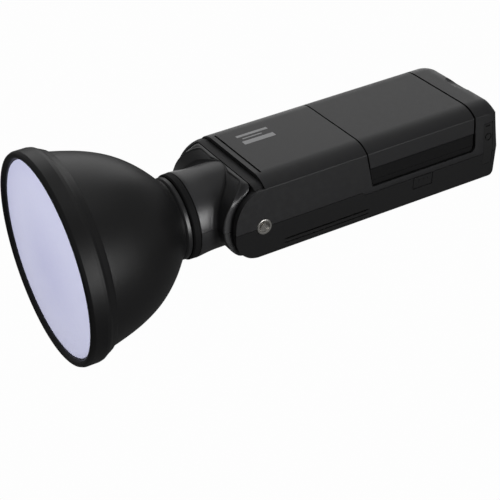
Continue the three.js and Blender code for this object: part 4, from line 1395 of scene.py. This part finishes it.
def tube_dome():
    rear_y = -112.4
    outside = [(12.4, -139), (11.4, -144), (8.6, -148), (4.4, -150.2), (0.4, -150.8)]
    inside = [(0.4, -149.4), (4, -148.8), (7.8, -146.8), (10.2, -143.2), (11.1, -138.6)]
    profile = [(12.4, rear_y), (12.4, -139)] + spline(outside, 24)[1:]
    profile += spline(inside, 24) + [(11.1, rear_y)]
    skin(lamp_lathe(profile), "tube_dome", "flash_tube", "frosted_glass", "frosted_glass",
         sharp=50)


def xenon_tube():
    """A ring tube on two straight legs."""
    leg_part = 0.16  # share of the path in each leg
    ring_r, tube_r = 8.2, 1.75
    base_y, ring_y, bow = -113, -128, 3
    steps, m = 120, 14
    start, end = math.radians(-70), math.radians(250)
    path = []
    for k in range(steps + 1):
        t = k / steps
        if t < leg_part:
            a, y = start, base_y + (ring_y - base_y) * (t / leg_part)
        elif t > 1 - leg_part:
            a, y = end, base_y + (ring_y - base_y) * ((1 - t) / leg_part)
        else:
            s = (t - leg_part) / (1 - 2 * leg_part)
            a, y = start + (end - start) * s, ring_y - bow * math.sin(math.pi * s)
        path.append(Vector((ring_r * math.cos(a), y, AXIS_Z + ring_r * math.sin(a))))
    verts = []
    normal = None
    for i, p in enumerate(path):
        tangent = (path[min(i + 1, len(path) - 1)] - path[max(0, i - 1)]).normalized()
        if normal is None:
            normal = tangent.orthogonal().normalized()
        normal = (normal - tangent * normal.dot(tangent)).normalized()
        side = tangent.cross(normal)
        for k in range(m):
            a = 2 * math.pi * k / m
            verts.append(p + (normal * math.cos(a) + side * math.sin(a)) * tube_r)
    skin(raw_solid(verts, loft_faces(len(path), m)), "xenon_tube", "flash_tube",
         "tube_glass", "tube_glass", sharp=60)


# CAD node, material, edge rounding in mm, rounding segments
LAMP_PIECES = [
    ("tube_base", "ceramic", 0.3, 2), ("tube_socket", "ceramic", 0.3, 2),
    ("modelling_lamp_board", "circuit_board", 0.1, 1),
    ("socket_frame", "shell_dark", 0.25, 2), ("trigger_coil", "brass", 0.2, 2),
]
INNER_PIECES = [
    ("capacitor_1", "capacitor_sleeve", 0.9, 3), ("capacitor_2", "capacitor_sleeve", 0.9, 3),
    ("hv_transformer", "brass", 0.5, 2),
    ("main_board", "circuit_board", 0.12, 1), ("control_board", "circuit_board", 0.12, 1),
    ("battery_contacts", "brass", 0.25, 2), ("battery_contact_plate", "brass", 0.25, 2),
    ("lcd_module", "steel", 0.3, 2), ("dial_encoder", "steel", 0.2, 2),
    ("usb_port", "steel", 0.2, 2), ("sync_jack", "brass", 0.15, 2),
    ("plug_contacts", "brass", 0.2, 2),
    ("hinge_bush_right", "ceramic", 0.2, 2), ("hinge_bush_left", "ceramic", 0.2, 2),
    ("stand_socket_plate", "steel", 0.2, 2), ("stand_socket_insert", "bright_nickel", 0.25, 2),
]


def inner_pieces():
    for row in LAMP_PIECES:
        refine(*row)
    for i in range(1, 5):
        refine(f"battery_cell_{i}", "cell_wrap", width=0.6, segments=3)
        refine(f"case_screw_{i}", "steel", width=0.12, segments=1)
    for row in INNER_PIECES:
        refine(*row)


upper_shell()
lower_shell()
battery()
barrel()
head()
neck_ring()
reflector_collar()
dish()
diffuser()
pivot_inserts()
release_buttons()
port_cover()
controls()
tube_dome()
xenon_tube()
inner_pieces()
top_mark()

# any CAD node still shown keeps its shape and gets a proper finish
for _node in frame["nodes"].values():
    if not _node.hide_render:
        _node.data.materials.clear()
        _node.data.materials.append(MAT["shell_dark"])

bpy.data.collections.remove(WORKING)

# ------------------------------------------------------------------ studio, metres


def direction(azimuth, elevation):
    """Unit vector at an azimuth from the front (-Y) towards +X, in degrees."""
    a, e = math.radians(azimuth), math.radians(elevation)
    return math.sin(a) * math.cos(e), -math.cos(a) * math.cos(e), math.sin(e)


def camera():
    azimuth, elevation, roll = 62.881, 31.985, 4.327  # degrees
    aim = np.array([0, -76.5, 0])  # mm
    aim_in_view = np.array([-8.940203, 10.865878, -851.510462])  # mm: right, up, backwards
    back = np.array(direction(azimuth, elevation))
    a = math.radians(azimuth)
    right = np.array([math.cos(a), math.sin(a), 0])
    up = np.cross(back, right)
    c, s = math.cos(math.radians(roll)), math.sin(math.radians(roll))
    axes = np.array([[c, -s, 0], [s, c, 0], [0, 0, 1]]) @ np.array([right, up, back])
    data = bpy.data.cameras.new("camera")
    ob = bpy.data.objects.new("camera", data)
    SCENE.collection.objects.link(ob)
    matrix = Matrix(axes.T.tolist()).to_4x4()
    matrix.translation = ((-axes.T @ aim_in_view + aim) * MM).tolist()
    ob.matrix_world = matrix
    data.sensor_width = 36
    data.lens = 104.9058
    data.clip_start, data.clip_end = 0.05, 20
    SCENE.camera = ob


def world():
    """Dim white light all round, plain white where the camera sees it."""
    sky = bpy.data.worlds.new("studio")
    SCENE.world = sky
    sky.use_nodes = True
    tree = sky.node_tree
    tree.nodes.clear()
    out = tree.nodes.new("ShaderNodeOutputWorld")
    mix = tree.nodes.new("ShaderNodeMixShader")
    path = tree.nodes.new("ShaderNodeLightPath")
    tree.links.new(path.outputs["Is Camera Ray"], mix.inputs[0])
    for socket, strength in ((1, 0.16), (2, 1.0)):
        background = tree.nodes.new("ShaderNodeBackground")
        background.inputs[0].default_value = (1, 1, 1, 1)
        background.inputs[1].default_value = strength
        tree.links.new(background.outputs[0], mix.inputs[socket])
    tree.links.new(mix.outputs[0], out.inputs[0])


def floor():
    """Grey floor well below the raised lamp, near white where the camera sees it."""
    half, z = 3, -0.45
    mesh = bpy.data.meshes.new("floor")
    corners = [(-half, -half, z), (half, -half, z), (half, half, z), (-half, half, z)]
    mesh.from_pydata(corners, [], [(0, 1, 2, 3)])
    ob = bpy.data.objects.new("floor", mesh)
    SCENE.collection.objects.link(ob)
    material = bpy.data.materials.new("floor_pale")
    material.use_nodes = True
    tree = material.node_tree
    tree.nodes.clear()
    out = tree.nodes.new("ShaderNodeOutputMaterial")
    diffuse = tree.nodes.new("ShaderNodeBsdfDiffuse")
    diffuse.inputs[0].default_value = (0.22, 0.22, 0.22, 1)
    glow = tree.nodes.new("ShaderNodeEmission")
    glow.inputs[0].default_value = (1, 1, 1, 1)
    glow.inputs[1].default_value = 0.985
    path = tree.nodes.new("ShaderNodeLightPath")
    mix = tree.nodes.new("ShaderNodeMixShader")
    tree.links.new(path.outputs["Is Camera Ray"], mix.inputs[0])
    tree.links.new(diffuse.outputs[0], mix.inputs[1])
    tree.links.new(glow.outputs[0], mix.inputs[2])
    tree.links.new(mix.outputs[0], out.inputs[0])
    mesh.materials.append(material)
    ob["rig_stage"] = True


LIGHT_CENTRE = (0, -0.05, 0.015)
SHELLS = ("upper_shell", "lower_shell", "battery_", "tilt_barrel", "head_", "port_cover",
          "floor")
# name, azimuth and elevation in degrees, distance, width, height, watts,
# first letters of the objects lit (None: everything)
LIGHTS = [
    ("strip_right", 108, 4, 1.1, 0.55, 0.64, 3.5, None),
    ("bank_left", -120, 30, 1.2, 1.1, 0.95, 2.7, None),
    ("horizon_left", -122, -8, 1.25, 1.1, 0.42, 1.3, SHELLS),
    ("low_left", -62, -12, 1.3, 0.9, 0.8, 1.2, SHELLS),
    ("neck_strip", 112, 4, 1.1, 0.62, 0.66, 8.6,
     ("head_upper", "head_lower", "reflector_collar")),
    ("back_strip", -126, 3, 1.2, 0.5, 0.25, 0.42, ("upper_shell",)),
    ("front_low", 20, -6, 1.2, 1.0, 0.9, 0.9,
     ("head_", "tilt_barrel", "neck_ring", "upper_shell", "lower_shell")),
    ("overhead", 175, 74, 1.1, 0.9, 0.9, 0.8, None),
    ("front_fill", 5, 25, 1.3, 0.7, 0.7, 14, ("diffuser_disc",)),
]


def softbox(name, azimuth, elevation, distance, width, height, power, lit):
    """A rectangular light that faces the lamp."""
    light = bpy.data.lights.new(name, "AREA")
    light.shape = "RECTANGLE"
    light.size, light.size_y = width, height
    light.energy = power
    ob = bpy.data.objects.new(name, light)
    SCENE.collection.objects.link(ob)
    away = Vector(direction(azimuth, elevation))
    ob.location = Vector(LIGHT_CENTRE) + away * distance
    ob.rotation_mode = "QUATERNION"
    ob.rotation_quaternion = away.to_track_quat("Z", "Y")
    if lit:
        receivers = bpy.data.collections.new("lit_by_" + ob.name)
        for target in SCENE.objects:
            if target.name.startswith(lit):
                receivers.objects.link(target)
        ob.light_linking.receiver_collection = receivers


camera()
world()
floor()
for _row in LIGHTS:
    softbox(*_row)
SCENE.view_settings.view_transform = "Standard"
SCENE.view_settings.look = "None"
SCENE.view_settings.exposure = 0
SCENE.view_settings.gamma = 1

_lo, _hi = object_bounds()
